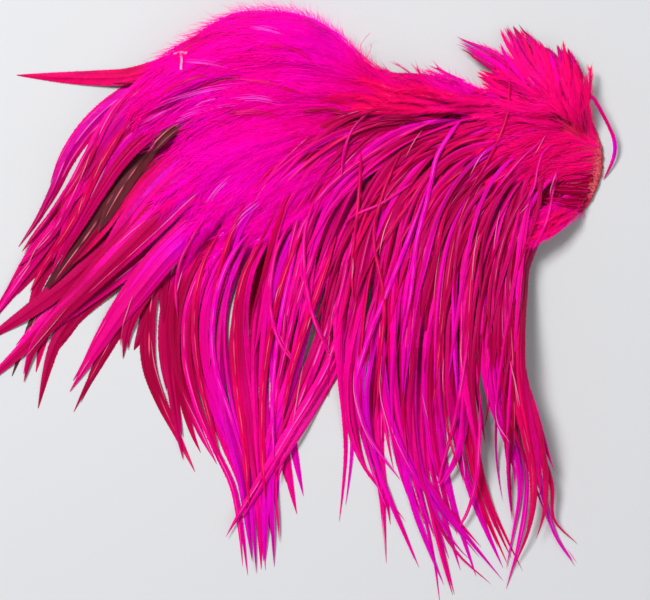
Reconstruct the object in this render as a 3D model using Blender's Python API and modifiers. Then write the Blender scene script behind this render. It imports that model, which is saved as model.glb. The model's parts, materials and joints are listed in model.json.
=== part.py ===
"""Rooster cape: a dried saddle hide with the locks of feathers that grow from it.

The cape lies flat, feather side up. X runs from the tail end of the hide (-X) to its cut head end (+X),
and +Z is up. The origin is a point on the flat underside of the hide, near the middle of its length.

Every lock is a bundle of feathers that lie together. The locks are laid one after another, as a
handful of hackles would be: each one rests on whatever is already below it.
"""

import math

import bmesh
import bpy
import numpy as np

MM = 0.001

# Driving dimensions, in millimetres
HIDE_THICKNESS = 2.2
HIDE_EDGE_ROUND = 0.6
HIDE_OUTLINE_POINTS = 56
RIM_RADIUS = 1.7
RIM_HEIGHT = 2.0
RIM_POINTS = 18
CLEARANCE = 0.40

# How stiff a lock is: its steepest rise along its length, the sag of its middle over a stretch of one
# millimetre each way, and the steepest lean across its width.
STEEPEST_SLOPE = 0.30
TIGHTEST_SAG = 0.0022
MOST_LEAN = 0.60

# How finely a lock is settled on what is below it: the size of a square of the pile, the rounds of
# stiffening, and the rounds of letting down with the share of the room that each takes.
CELL = 0.7
STIFFEN_ROUNDS = 30
LOWERINGS = 24
LOWERING_SHARE = 0.5
PILE_LOW = (-320, -320)
PILE_HIGH = (130, 110)

# How late a lock narrows towards its tip.
TAPER = 3.0

# Half the outline of a lock's section goes over the top and half underneath: how far across, from one
# edge to the other, and how far up.
LOCK_SECTION = [(1.0, 0.30), (0.5, 1.0), (0.0, 0.62), (-0.5, 1.0), (-1.0, 0.30), (-0.8, 0.0), (0.8, 0.0)]
TOP_POINTS = 5

# The outline of the hide, seen from above: from the narrow tail end along the upper edge to the wide
# cut end, and back along the lower edge.
HIDE_OUTLINE = [
    (-112, 10), (-96, 19), (-66, 21), (-30, 18), (0, 15), (30, 13), (54, 16), (73, 21), (82, 10), (88, -2),
    (92, -15), (90, -30), (85, -42), (79, -50), (67, -53), (50, -48), (27, -33), (0, -18), (-30, -10),
    (-66, -6), (-96, -2),
]
# The dried rim along the cut end.
RIM_ROUTE = [(74, 18), (81, 9), (86.5, -2), (90, -15), (88.5, -29), (83, -42), (78, -48)]

# Each family of locks: how many stations a lock has, and its width and thickness along its length as
# shares of its own. A share is given at the root, the belly and the tip.
FAMILIES = {
    "flank_hackle": {"stations": 12, "width": (0.45, 1.0, 0.10), "thick": (0.5, 1.0, 0.3), "belly": 0.30},
    "spade": {"stations": 12, "width": (0.30, 1.0, 0.08), "thick": (0.5, 1.0, 0.3), "belly": 0.45},
    "saddle_hackle": {"stations": 13, "width": (0.45, 1.0, 0.10), "thick": (0.5, 1.0, 0.3), "belly": 0.25},
    "neck_hackle": {"stations": 8, "width": (0.50, 1.0, 0.10), "thick": (0.6, 1.0, 0.3), "belly": 0.40},
    "down": {"stations": 8, "width": (0.40, 1.0, 0.15), "thick": (0.5, 1.0, 0.2), "belly": 0.55},
    "loose_hackle": {"stations": 13, "width": (0.8, 1.0, 0.2), "thick": (0.8, 1.0, 0.4), "belly": 0.5},
}

# The locks in the order they are laid: name, width, thickness, and the points of the route from the
# root on the hide to the tip.
LOCKS = [
    ("flank_hackle_01", 10, 1.7,
     [(-88, 0), (-141, -42), (-174, -84), (-181, -120), (-177, -153), (-153, -205)]),
    ("flank_hackle_02", 8, 1.6,
     [(-82, -2), (-132, -47), (-163, -89), (-170, -123), (-167, -162), (-161, -198)]),
    ("flank_hackle_03", 13, 1.6,
     [(-76, -3), (-124, -46), (-155, -88), (-163, -129), (-155, -171), (-141, -201)]),
    ("spade_01", 11, 1.5, [(-94, 0), (-138, -51), (-171, -79), (-195, -111), (-212, -141), (-226, -169)]),
    ("spade_02", 17, 1.8, [(-90, -2), (-135, -39), (-162, -66), (-180, -91), (-192, -113), (-196, -137)]),
    ("spade_03", 16, 1.8,
     [(-100, 5), (-138, -30), (-174, -66), (-204, -92), (-226, -113), (-238, -133), (-247, -167)]),
    ("spade_04", 20, 1.9,
     [(-98, 7), (-132, -21), (-171, -57), (-202, -83), (-225, -101), (-247, -121), (-283, -156)]),
    ("spade_05", 18, 1.9,
     [(-104, 12), (-141, -13), (-184, -50), (-219, -83), (-249, -107), (-287, -132)]),
    ("spade_06", 20, 1.7, [(-104, 16), (-152, 4), (-174, -13), (-195, -36), (-213, -63), (-241, -96)]),
    ("spade_07", 19, 1.8, [(-92, 12), (-114, 3), (-144, -12), (-171, -33), (-192, -57), (-221, -94)]),
    ("spade_08", 17, 1.8,
     [(-88, 8), (-120, -12), (-150, -30), (-186, -64), (-219, -96), (-247, -125), (-256, -151)]),
    ("spade_09", 16, 1.8, [(-78, -1), (-132, -43), (-165, -70), (-187, -96), (-204, -120), (-228, -157)]),
    ("spade_10", 16, 1.8, [(-102, 20), (-150, 19), (-186, 0), (-213, -29), (-240, -69), (-282, -123)]),
    ("spade_11", 11, 1.6,
     [(-96, 26), (-156, 38), (-180, 29), (-205, 13), (-227, -12), (-243, -46), (-259, -70)]),
    ("spade_12", 15, 1.7,
     [(-92, 24), (-141, 35), (-174, 23), (-203, -3), (-226, -41), (-249, -75), (-277, -117)]),
    ("spade_13", 17, 1.8,
     [(-84, 20), (-120, 27), (-150, 18), (-180, 5), (-203, -16), (-221, -45), (-240, -87)]),
    ("spade_14", 13, 1.6, [(-84, 26), (-124, 43), (-156, 42), (-190, 32), (-222, 31), (-260, 33)]),
    ("spade_15", 17, 1.8,
     [(-74, 26), (-114, 50), (-150, 45), (-177, 27), (-200, 3), (-220, -28), (-239, -57)]),
    ("flank_hackle_04", 13, 1.7,
     [(-70, -4), (-115, -48), (-146, -86), (-155, -125), (-146, -168), (-126, -216), (-120, -267)]),
    ("flank_hackle_05", 10, 1.6,
     [(-64, -5), (-108, -44), (-138, -82), (-148, -120), (-143, -156), (-128, -195), (-122, -244)]),
    ("flank_hackle_06", 11, 1.7,
     [(-58, -6), (-98, -44), (-125, -84), (-133, -123), (-131, -165), (-123, -207), (-116, -266)]),
    ("flank_hackle_07", 13, 1.7,
     [(-52, -6), (-90, -45), (-115, -87), (-121, -129), (-118, -171), (-113, -219), (-111, -264)]),
    ("flank_hackle_08", 12, 1.5,
     [(-46, -6), (-82, -48), (-103, -93), (-108, -135), (-107, -177), (-104, -224)]),
    ("flank_hackle_09", 12, 1.5,
     [(-40, -6), (-73, -51), (-93, -93), (-99, -135), (-99, -183), (-90, -230)]),
    ("flank_hackle_10", 13, 1.7,
     [(-34, -5), (-62, -54), (-80, -99), (-92, -147), (-106, -195), (-107, -262)]),
    ("flank_hackle_11", 13, 1.7,
     [(-28, -3), (-53, -54), (-68, -99), (-82, -141), (-95, -177), (-104, -211)]),
    ("flank_hackle_12", 11, 1.5,
     [(-22, 2), (-43, -50), (-57, -96), (-70, -138), (-95, -183), (-131, -246)]),
    ("saddle_hackle_01", 9, 1.5,
     [(-14, 8), (-38, -27), (-57, -75), (-65, -129), (-61, -189), (-66, -235)]),
    ("saddle_hackle_02", 11, 1.5,
     [(-6, 10), (-30, -27), (-49, -78), (-60, -135), (-55, -189), (-28, -236)]),
    ("saddle_hackle_03", 11, 1.5,
     [(2, 10), (-20, -27), (-37, -84), (-43, -141), (-43, -201), (-38, -260)]),
    ("saddle_hackle_04", 11, 1.5,
     [(9, 9), (-15, -33), (-39, -90), (-54, -147), (-44, -198), (-17, -262)]),
    ("saddle_hackle_05", 13, 1.7,
     [(16, 8), (-12, -39), (-30, -96), (-37, -150), (-27, -207), (-15, -246), (-8, -284)]),
    ("saddle_hackle_06", 12, 1.7,
     [(23, 7), (-6, -42), (-23, -102), (-29, -159), (-21, -213), (-1, -272)]),
    ("saddle_hackle_07", 12, 1.7, [(30, 6), (2, -45), (-13, -105), (-18, -162), (-10, -219), (5, -278)]),
    ("saddle_hackle_08", 12, 1.7, [(37, 5), (9, -48), (-5, -108), (-9, -165), (-1, -219), (15, -268)]),
    ("saddle_hackle_09", 13, 1.7, [(44, 4), (16, -48), (4, -108), (1, -165), (12, -219), (31, -263)]),
    ("saddle_hackle_10", 15, 1.9, [(51, 2), (24, -51), (12, -108), (13, -165), (21, -219), (40, -266)]),
    ("saddle_hackle_11", 8, 1.5,
     [(57, 0), (31, -54), (22, -111), (28, -162), (41, -198), (42, -223), (33, -263)]),
    ("saddle_hackle_12", 9, 1.6,
     [(63, -4), (37, -57), (30, -114), (36, -165), (46, -207), (44, -240), (35, -276)]),
    ("saddle_hackle_13", 10, 1.5,
     [(69, -10), (44, -60), (35, -117), (39, -165), (54, -215), (62, -240), (76, -261)]),
    ("saddle_hackle_14", 9, 1.5,
     [(75, -18), (49, -62), (40, -111), (41, -147), (51, -183), (61, -214), (63, -235), (77, -248)]),
    ("saddle_hackle_15", 9, 1.4,
     [(80, -27), (49, -64), (42, -105), (42, -147), (50, -186), (54, -214), (50, -240), (40, -264)]),
    ("saddle_hackle_16", 10, 1.5,
     [(24, 17), (-10, 0), (-30, -54), (-37, -117), (-33, -174), (-12, -219), (31, -271)]),
    ("saddle_hackle_17", 10, 1.5,
     [(42, 15), (8, -3), (-13, -60), (-23, -126), (-21, -192), (-4, -243), (25, -272)]),
    ("saddle_hackle_18", 9, 1.4, [(58, 13), (25, -9), (9, -72), (7, -135), (6, -186), (-8, -216)]),
    ("saddle_hackle_19", 9, 1.4, [(70, 8), (39, -15), (18, -78), (10, -144), (16, -201), (5, -239)]),
    ("down_tail_1", 28, 3.6, [(-30, 0), (-60, -20), (-92, -42), (-120, -66)]),
    ("down_tail_2", 34, 4.0, [(-26, 4), (-62, -6), (-104, -22), (-146, -50)]),
    ("down_tail_3", 36, 4.0, [(-22, 8), (-64, 10), (-110, 4), (-158, -18)]),
    ("down_tail_4", 38, 4.0, [(-18, 12), (-60, 26), (-108, 33), (-164, 14)]),
    ("down_tail_5", 34, 4.0, [(-14, 16), (-46, 34), (-84, 58), (-124, 60), (-158, 44), (-188, 20)]),
    ("down_ridge", 27, 3.6, [(46, 10), (20, 18), (-8, 27), (-38, 27)]),
    ("neck_hackle_1", 12, 1.8, [(66, 2), (50, 14), (34, 26), (17, 35)]),
    ("neck_hackle_2", 13, 1.9, [(70, 4), (50, 24), (28, 42), (3, 54)]),
    ("neck_hackle_3", 17, 2.0, [(74, 6), (61, 26), (49, 43), (36, 64)]),
    ("neck_hackle_4", 15, 1.9, [(77, 6), (68, 23), (61, 37), (51, 53)]),
    ("neck_hackle_5", 12, 1.8, [(80, 2), (76, 18), (72, 34), (67, 52)]),
    ("down_corner", 18, 3.0, [(79, -37), (68, -48), (56, -57), (44, -66)]),
    ("loose_hackle", 3.4, 1.2, [(76, 19), (84, 21), (92, 9), (98, -4), (99, -12), (97, -20), (92, -30)]),
]

# The dyes, as linear colours. A lock with no entry in DYE_OF took the magenta.
DYES = {
    "magenta": (0.87, 0.00, 0.25, 1.0),
    "crimson": (0.62, 0.00, 0.08, 1.0),
    "purple": (0.68, 0.00, 0.50, 1.0),
    "brown": (0.09, 0.01, 0.02, 1.0),
    "pink": (0.95, 0.00, 0.33, 1.0),
    "skin": (0.42, 0.07, 0.06, 1.0),
}
DYE_OF = {
    "hide": "skin",
    "spade_06": "brown",
    **dict.fromkeys(["flank_hackle_01", "flank_hackle_03", "spade_01", "spade_03", "spade_14"], "crimson"),
    **dict.fromkeys(["saddle_hackle_10", "saddle_hackle_14", "saddle_hackle_15", "neck_hackle_1"], "crimson"),
    **dict.fromkeys(["flank_hackle_05", "flank_hackle_08", "spade_09", "loose_hackle"], "purple"),
    **dict.fromkeys(["saddle_hackle_04", "saddle_hackle_11", "saddle_hackle_12", "saddle_hackle_18"], "purple"),
    **dict.fromkeys(["down_tail_1", "down_tail_2", "down_tail_3", "down_tail_4", "down_tail_5"], "pink"),
}
ROUGHNESS = {"skin": 0.8, "pink": 0.75}
SILKY = 0.45


def clear_scene():
    for obj in list(bpy.data.objects):
        bpy.data.objects.remove(obj, do_unlink=True)


def make_collection(name):
    collection = bpy.data.collections.new(name)
    bpy.context.scene.collection.children.link(collection)
    return collection


def make_material(node):
    dye = DYE_OF.get(node, "magenta")
    material = bpy.data.materials.new(node)
    material.use_nodes = True
    shader = material.node_tree.nodes["Principled BSDF"]
    shader.inputs["Base Color"].default_value = DYES[dye]
    shader.inputs["Roughness"].default_value = ROUGHNESS.get(dye, SILKY)
    shader.inputs["Metallic"].default_value = 0.0
    return material


def smooth_route(points, count):
    """Count points at equal distances along a smooth curve through the given ones."""
    knots = np.array(points, float)
    ends = np.vstack([2 * knots[0] - knots[1], knots, 2 * knots[-1] - knots[-2]])
    t = np.linspace(0, 1, 24, endpoint=False)[:, None]
    runs = []
    for a, b, c, d in zip(ends, ends[1:], ends[2:], ends[3:]):
        square, cube = 2 * a - 5 * b + 4 * c - d, 3 * b - a - 3 * c + d
        runs.append(0.5 * (2 * b + (c - a) * t + square * t**2 + cube * t**3))
    curve = np.vstack([*runs, knots[-1:]])
    along = np.concatenate([[0], np.cumsum(np.linalg.norm(np.diff(curve, axis=0), axis=1))])
    wanted = np.linspace(0, along[-1], count)
    return np.stack([np.interp(wanted, along, curve[:, k]) for k in range(2)], axis=1), along[-1]


def shares(root, belly, tip, belly_at, count):
    """A share that rises from root to belly, holds, and falls to tip, at equal steps along a lock."""
    s = np.linspace(0, 1, count)
    rise = np.clip(s / belly_at, 0, 1)
    fall = np.clip((s - belly_at) / (1 - belly_at), 0, 1)
    return root + (belly - root) * rise * rise * (3 - 2 * rise) - (belly - tip) * fall**TAPER


class Pile:
    """The height of everything laid so far, on a grid of small squares."""

    def __init__(self, low, high):
        self.low = np.array(low, float)
        self.height = np.zeros([int(math.ceil((h - l) / CELL)) + 1 for l, h in zip(low, high)])

    def squares(self, points):
        index = np.floor((points - self.low) / CELL).astype(int)
        return index[:, 0], index[:, 1]

    def cover(self, points, tops):
        """Raises each square that a point falls in, and its neighbours, to the point's top."""
        i, j = self.squares(points)
        for di in (-1, 0, 1):
            for dj in (-1, 0, 1):
                np.maximum.at(self.height, (i + di, j + dj), tops)


def spread(triangle, spacing):
    """Points spread over a triangle, as the shares of its three corners in each."""
    longest = max(np.linalg.norm(triangle[k] - triangle[k - 1]) for k in range(3))
    count = int(math.ceil(longest / spacing)) + 1
    i, j = np.meshgrid(np.arange(count + 1), np.arange(count + 1), indexing="ij")
    inside = i + j <= count
    i, j = i[inside] / count, j[inside] / count
    return np.stack([1 - i - j, i, j], axis=1)


def resting_heights(pile, left, right, step):
    """How high the two edges of a lock's underside lie at each station. The lock is held level above the
    pile, then let down bit by bit until it leans on what is below, bent no more than a feather would be."""
    count = len(left)
    edges = np.vstack([left, right])
    lean = np.tile(MOST_LEAN * np.linalg.norm(left - right, axis=1), 2)
    heights = np.zeros(2 * count)
    touching = [[] for _ in heights]
    for k in range(count - 1):
        for triangle in ((count + k, k, k + 1), (count + k, k + 1, count + k + 1)):
            parts = spread(edges[list(triangle)], CELL)
            below = pile.height[pile.squares(parts @ edges[list(triangle)])]
            parts, need = parts[below > 0], below[below > 0] + CLEARANCE
            for at, corner in enumerate(triangle):
                if len(need):
                    heights[corner] = max(heights[corner], need.max())
                    held = parts[:, at] > 0
                    touching[corner].append((list(triangle), at, parts[held], need[held]))

    def stiff(corner):
        """The lowest a corner may lie beside its neighbours."""
        side, k = divmod(corner, count)
        floor = max(0.0, heights[corner - count if side else corner + count] - lean[corner])
        beside = [heights[corner + d] for d in (-1, 1) if 0 <= k + d < count]
        if len(beside) == 2:
            floor = max(floor, sum(beside) / 2 - TIGHTEST_SAG * step**2)
        return max(floor, max(beside) - STEEPEST_SLOPE * step)

    for _ in range(STIFFEN_ROUNDS):
        for corner in range(2 * count):
            heights[corner] = max(heights[corner], stiff(corner))
    for _ in range(LOWERINGS):
        for corner in range(2 * count):
            room = heights[corner] - stiff(corner)
            for triangle, at, parts, need in touching[corner]:
                if len(need) and room > 0:
                    room = min(room, ((parts @ heights[triangle] - need) / parts[:, at]).min())
            heights[corner] -= max(room, 0.0) * LOWERING_SHARE
    return heights[:count], heights[count:]


def loft(name, rings, collection):
    """A closed solid through rings of points, capped at both ends."""
    shape = bmesh.new()
    loops = [[shape.verts.new([c * MM for c in point]) for point in ring] for ring in rings]
    count = len(loops[0])
    for one, other in zip(loops, loops[1:]):
        for k in range(count):
            after = (k + 1) % count
            shape.faces.new((one[k], one[after], other[after]))
            shape.faces.new((one[k], other[after], other[k]))
    shape.faces.new(loops[0][::-1])
    shape.faces.new(loops[-1])
    bmesh.ops.recalc_face_normals(shape, faces=shape.faces)
    mesh = bpy.data.meshes.new(name)
    shape.to_mesh(mesh)
    shape.free()
    obj = bpy.data.objects.new(name, mesh)
    mesh.materials.append(make_material(name))
    collection.objects.link(obj)


def lay_lock(name, width, thickness, route, pile, collection):
    """One lock of feathers: a ribbon with two ridges, laid on the pile."""
    family = next(f for f in FAMILIES if name.startswith(f))
    shape = FAMILIES[family]
    count = shape["stations"]
    centre, length = smooth_route(route, count)
    widths = width * shares(*shape["width"], shape["belly"], count)
    thicks = thickness * shares(*shape["thick"], shape["belly"], count)
    ahead = np.gradient(centre, axis=0)
    ahead /= np.linalg.norm(ahead, axis=1)[:, None]
    side = np.stack([-ahead[:, 1], ahead[:, 0]], axis=1) * widths[:, None] / 2
    high, low = resting_heights(pile, centre + side, centre - side, length / (count - 1))
    across = np.array([a for a, _ in LOCK_SECTION])
    up = np.array([b for _, b in LOCK_SECTION])
    rings = np.zeros((count, len(across), 3))
    rings[:, :, :2] = centre[:, None, :] + side[:, None, :] * across[None, :, None]
    rings[:, :, 2] = ((high + low) / 2)[:, None] + ((high - low) / 2)[:, None] * across + thicks[:, None] * up
    for one, other in zip(rings, rings[1:]):
        for k in range(TOP_POINTS - 1):
            for triangle in ((one[k], one[k + 1], other[k + 1]), (one[k], other[k + 1], other[k])):
                points = spread(np.array(triangle)[:, :2], CELL / 2) @ np.array(triangle)
                pile.cover(points[:, :2], points[:, 2])
    loft(name, rings, collection)


def make_hide(collection, pile):
    """The dried skin: a flat slab with rounded edges and a thicker rim along the cut end."""
    edge, _ = smooth_route([*HIDE_OUTLINE, HIDE_OUTLINE[0]], HIDE_OUTLINE_POINTS)
    curve = bpy.data.curves.new("hide_outline", "CURVE")
    curve.dimensions = "2D"
    curve.fill_mode = "BOTH"
    curve.extrude = (HIDE_THICKNESS / 2) * MM
    spline = curve.splines.new("POLY")
    spline.points.add(len(edge) - 2)
    for point, (x, y) in zip(spline.points, edge[:-1]):
        point.co = (x * MM, y * MM, 0.0, 1.0)
    spline.use_cyclic_u = True
    slab = solid_from(curve, "hide", (0, 0, HIDE_THICKNESS / 2 * MM), collection)
    slab.data.materials.append(make_material("hide"))
    bevel = slab.modifiers.new("rounded edge", "BEVEL")
    bevel.width = HIDE_EDGE_ROUND * MM
    bevel.segments = 1
    bevel.limit_method = "ANGLE"

    rim_line, _ = smooth_route(RIM_ROUTE, RIM_POINTS)
    rim_curve = bpy.data.curves.new("rim", "CURVE")
    rim_curve.dimensions = "3D"
    rim_curve.bevel_depth = RIM_RADIUS * MM
    rim_curve.bevel_resolution = 1
    rim_curve.use_fill_caps = True
    line = rim_curve.splines.new("POLY")
    line.points.add(len(rim_line) - 1)
    for point, (x, y) in zip(line.points, rim_line):
        point.co = (x * MM, y * MM, RIM_HEIGHT * MM, 1.0)
    helpers = make_collection("helpers")
    rim = solid_from(rim_curve, "hide_rim", (0, 0, 0), helpers)
    rim.hide_render = True
    rim.display_type = "WIRE"
    join = slab.modifiers.new("rim", "BOOLEAN")
    join.operation = "UNION"
    join.object = rim

    cover_outline(pile, edge)
    ring = np.linspace(0, 2 * math.pi, 12, endpoint=False)
    around = np.stack([np.cos(ring), np.sin(ring)], axis=1) * RIM_RADIUS
    over = (rim_line[:, None, :] + around[None, :, :]).reshape(-1, 2)
    pile.cover(over, np.full(len(over), RIM_HEIGHT + RIM_RADIUS))


def solid_from(curve, name, place, collection):
    """A welded mesh object made from a curve."""
    source = bpy.data.objects.new(name + "_curve", curve)
    source.location = place
    bpy.context.scene.collection.objects.link(source)
    bpy.context.view_layer.update()
    mesh = bpy.data.meshes.new_from_object(source.evaluated_get(bpy.context.evaluated_depsgraph_get()))
    mesh.transform(source.matrix_world)
    bpy.data.objects.remove(source, do_unlink=True)
    shape = bmesh.new()
    shape.from_mesh(mesh)
    bmesh.ops.remove_doubles(shape, verts=shape.verts, dist=1e-6)
    bmesh.ops.recalc_face_normals(shape, faces=shape.faces)
    shape.to_mesh(mesh)
    shape.free()
    obj = bpy.data.objects.new(name, mesh)
    collection.objects.link(obj)
    return obj


def cover_outline(pile, edge):
    """Raises the pile to the top of the hide at every square inside its outline."""
    low, high = edge.min(axis=0), edge.max(axis=0)
    xs = np.arange(low[0], high[0] + CELL, CELL / 2)
    ys = np.arange(low[1], high[1] + CELL, CELL / 2)
    points = np.stack(np.meshgrid(xs, ys, indexing="ij"), axis=-1).reshape(-1, 2)
    inside = np.zeros(len(points), bool)
    for (x0, y0), (x1, y1) in zip(edge, np.roll(edge, -1, axis=0)):
        crosses = (y0 > points[:, 1]) != (y1 > points[:, 1])
        if y0 != y1:
            inside ^= crosses & (points[:, 0] < x0 + (points[:, 1] - y0) * (x1 - x0) / (y1 - y0))
    pile.cover(points[inside], np.full(int(inside.sum()), HIDE_THICKNESS))


def main():
    clear_scene()
    cape = make_collection("rooster_cape")
    pile = Pile(PILE_LOW, PILE_HIGH)
    make_hide(cape, pile)
    for name, width, thickness, route in LOCKS:
        lay_lock(name, width, thickness, route, pile, cape)
    print(f"{len(LOCKS) + 1} nodes, highest point {pile.height.max():.1f} mm")


main()
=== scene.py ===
# %% [markdown]
# # A rooster cape, feather by feather
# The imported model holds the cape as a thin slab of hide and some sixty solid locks. This lesson dresses
# each lock with the separate feathers that lie in it, and gives the feathers their dyed, silky look.
# The camera looks straight down, as one would at a cape on a table.

import json
import math

import bmesh
import bpy
import numpy as np
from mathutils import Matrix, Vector, noise

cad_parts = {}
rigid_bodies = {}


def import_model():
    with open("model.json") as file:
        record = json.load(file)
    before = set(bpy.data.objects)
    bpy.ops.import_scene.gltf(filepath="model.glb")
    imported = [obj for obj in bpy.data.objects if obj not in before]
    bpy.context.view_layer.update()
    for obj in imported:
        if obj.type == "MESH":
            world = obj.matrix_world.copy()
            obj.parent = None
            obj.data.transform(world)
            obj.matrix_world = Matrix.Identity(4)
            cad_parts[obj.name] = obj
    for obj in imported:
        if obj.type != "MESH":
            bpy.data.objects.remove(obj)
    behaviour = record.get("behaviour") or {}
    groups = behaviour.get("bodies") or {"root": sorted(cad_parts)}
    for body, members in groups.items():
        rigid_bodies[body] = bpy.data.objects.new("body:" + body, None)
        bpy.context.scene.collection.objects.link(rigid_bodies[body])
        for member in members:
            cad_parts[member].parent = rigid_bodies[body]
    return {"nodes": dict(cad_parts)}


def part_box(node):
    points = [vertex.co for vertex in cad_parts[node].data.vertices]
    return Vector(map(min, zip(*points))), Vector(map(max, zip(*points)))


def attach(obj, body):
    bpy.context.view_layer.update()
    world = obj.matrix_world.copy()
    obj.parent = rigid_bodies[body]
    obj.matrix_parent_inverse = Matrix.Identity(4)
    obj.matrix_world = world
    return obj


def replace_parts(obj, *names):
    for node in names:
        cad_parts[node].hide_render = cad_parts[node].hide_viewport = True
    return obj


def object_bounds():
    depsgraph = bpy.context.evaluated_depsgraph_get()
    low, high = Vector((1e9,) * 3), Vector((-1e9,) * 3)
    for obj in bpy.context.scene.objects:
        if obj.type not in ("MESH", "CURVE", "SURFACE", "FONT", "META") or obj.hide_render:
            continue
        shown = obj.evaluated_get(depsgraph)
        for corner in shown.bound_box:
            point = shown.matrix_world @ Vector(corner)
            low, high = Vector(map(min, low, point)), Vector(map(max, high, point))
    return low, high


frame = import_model()
CAD_BOX = [list(corner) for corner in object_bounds()]
MM = 0.001
SEED = 84
chance = np.random.default_rng(SEED)
print("frame:", len(frame["nodes"]), "nodes")

# %% [markdown]
# ## Reading a lock
# Every lock in the frame is a ribbon made of rings of seven points. A feather in the lock has to know
# where the ribbon runs, how wide and thick it is, and how it leans on its neighbours. One could type the
# routes again, but then they would drift apart whenever the solids change. Reading the rings back from
# the mesh keeps both in step. The rings are found by walking from the wide end, one ring at a time.

# %% Find the rings of a lock
RING = 7
MOST_SLANT = 0.05


def unit(vectors):
    return vectors / np.maximum(np.linalg.norm(vectors, axis=-1, keepdims=True), 1e-12)


def left_of(line):
    """The direction to the left of a line on the table, at each of its points."""
    ahead = np.gradient(line, axis=0)
    return unit(np.stack([-ahead[:, 1], ahead[:, 0]], axis=1))


def welded(mesh):
    """The mesh's separate points, and its triangles as indices into them."""
    places = np.empty(len(mesh.vertices) * 3, np.float32)
    mesh.vertices.foreach_get("co", places)
    points, index = np.unique(places.reshape(-1, 3), axis=0, return_inverse=True)
    mesh.calc_loop_triangles()
    corners = np.empty(len(mesh.loop_triangles) * 3, np.int32)
    mesh.loop_triangles.foreach_get("vertices", corners)
    return points.astype(float), index.reshape(-1)[corners].reshape(-1, 3)


def wider_cap(points, faces):
    """The points of the wider of a lock's two flat ends, which stand upright."""
    found = {}
    for face in faces:
        a, b, c = points[face]
        normal = np.cross(b - a, c - a)
        size = np.linalg.norm(normal)
        if size == 0 or abs(normal[2]) > MOST_SLANT * size:
            continue
        normal /= size
        key = (round(normal[0], 1), round(normal[1], 1), round(normal @ a, 4))
        area, held = found.get(key, (0.0, set()))
        found[key] = (area + size / 2, held | set(int(v) for v in face))
    return max((cap for cap in found.values() if len(cap[1]) == RING), key=lambda cap: cap[0])[1]


def rings_of(node):
    """The rings of a lock, from its root to its tip, each sorted from its left edge to its right one."""
    points, faces = welded(frame["nodes"][node].data)
    beside = [set() for _ in points]
    for a, b, c in faces:
        beside[a] |= {b, c}
        beside[b] |= {a, c}
        beside[c] |= {a, b}
    ring = {int(v) for v in wider_cap(points, faces)}
    seen, rings = set(ring), [sorted(ring)]
    while True:
        ring = set().union(*(beside[v] for v in ring)) - seen
        if not ring:
            break
        seen |= ring
        rings.append(sorted(int(v) for v in ring))
    stack = np.array([points[ring] for ring in rings])
    left = left_of(stack.mean(axis=1)[:, :2])
    order = np.argsort(-np.einsum("rpk,rk->rp", stack[:, :, :2], left), axis=1)
    return np.take_along_axis(stack, order[:, :, None], axis=1)


print("rings in the hide's first spade:", len(rings_of("spade_01")))

# %% [markdown]
# ## Measuring the locks
# From its rings, a lock gets a middle line, a half width, a lean from side to side, an underside and a
# thickness. Between the rings these run along a smooth curve, because a feather has no corners. The same
# curve later turns every route of a few points into a line.

# %% Measure the locks
def smooth_between(values, at):
    """Values at places from 0 to 1 along a smooth curve through the given rows."""
    values = np.asarray(values, float)
    flat = values.reshape(len(values), -1)
    ends = np.vstack([2 * flat[0] - flat[1], flat, 2 * flat[-1] - flat[-2]])
    where = np.clip(np.asarray(at, float), 0, 1) * (len(flat) - 1)
    k = np.minimum(where.astype(int), len(flat) - 2)
    t = (where - k)[:, None]
    a, b, c, d = ends[k], ends[k + 1], ends[k + 2], ends[k + 3]
    square, cube = 2 * a - 5 * b + 4 * c - d, 3 * b - a - 3 * c + d
    mixed = 0.5 * (2 * b + (c - a) * t + square * t**2 + cube * t**3)
    return mixed.reshape((len(where),) + values.shape[1:])


class Lock:
    """Where a lock's ribbon runs: its middle, its half width, its lean, underside and thickness."""

    def __init__(self, node):
        rings = rings_of(node)
        one_edge, one_base, one_ridge = rings[:, 0], rings[:, 1], rings[:, 2]
        other_ridge, other_base, other_edge = rings[:, 4], rings[:, 5], rings[:, 6]
        self.middle = (one_edge[:, :2] + other_edge[:, :2]) / 2
        self.half = (one_edge[:, :2] - other_edge[:, :2]) / 2
        self.lean = (one_edge[:, 2] - other_edge[:, 2]) / 2
        self.base = (one_base[:, 2] + other_base[:, 2]) / 2
        self.thick = (one_ridge[:, 2] + other_ridge[:, 2]) / 2 - self.base
        self.length = float(np.linalg.norm(np.diff(self.middle, axis=0), axis=1).sum())
        self.widest = float(np.linalg.norm(self.half, axis=1).max())

    def at(self, share):
        """Middle, half width, lean, underside and thickness at places from 0 to 1 along the lock."""
        rows = np.column_stack([self.middle, self.half, self.lean, self.base, self.thick])
        row = smooth_between(rows, share)
        return row[:, :2], row[:, 2:4], row[:, 4], row[:, 5], row[:, 6]


locks = {name: Lock(name) for name in sorted(frame["nodes"]) if name != "hide"}
longest = max(locks, key=lambda name: locks[name].length)
print("longest lock:", longest, round(locks[longest].length / MM), "mm")

# %% [markdown]
# ## Places on the table
# Routes are typed as places in the camera's view, in steps of 0.6 mm right and down from its corner, and
# turned to metres on the table. The camera hangs above the middle of the view, so it sees a point that
# stands high a little further out. To show up over its place, a high point has to be drawn in by as much.

# %% Turn places in the view to places on the table
PIXEL = 0.0006
ORIGIN = np.array([450.0, 130.0])
VIEW_SIZE = np.array([650.0, 600.0])
VIEW_CENTRE = (VIEW_SIZE / (2, -2) - ORIGIN * (1, -1)) * PIXEL
LENS, SENSOR = 100, 36
CAMERA_HEIGHT = VIEW_SIZE[0] * PIXEL * LENS / SENSOR


def on_table(places):
    """Places in the view as metres on the table."""
    places = np.asarray(places, float)
    return np.stack([(places[..., 0] - ORIGIN[0]), (ORIGIN[1] - places[..., 1])], axis=-1) * PIXEL


def route_line(route, number):
    """A smooth line of this many points on the table, along a route in the view."""
    return smooth_between(on_table(route), np.linspace(0, 1, number))


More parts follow.
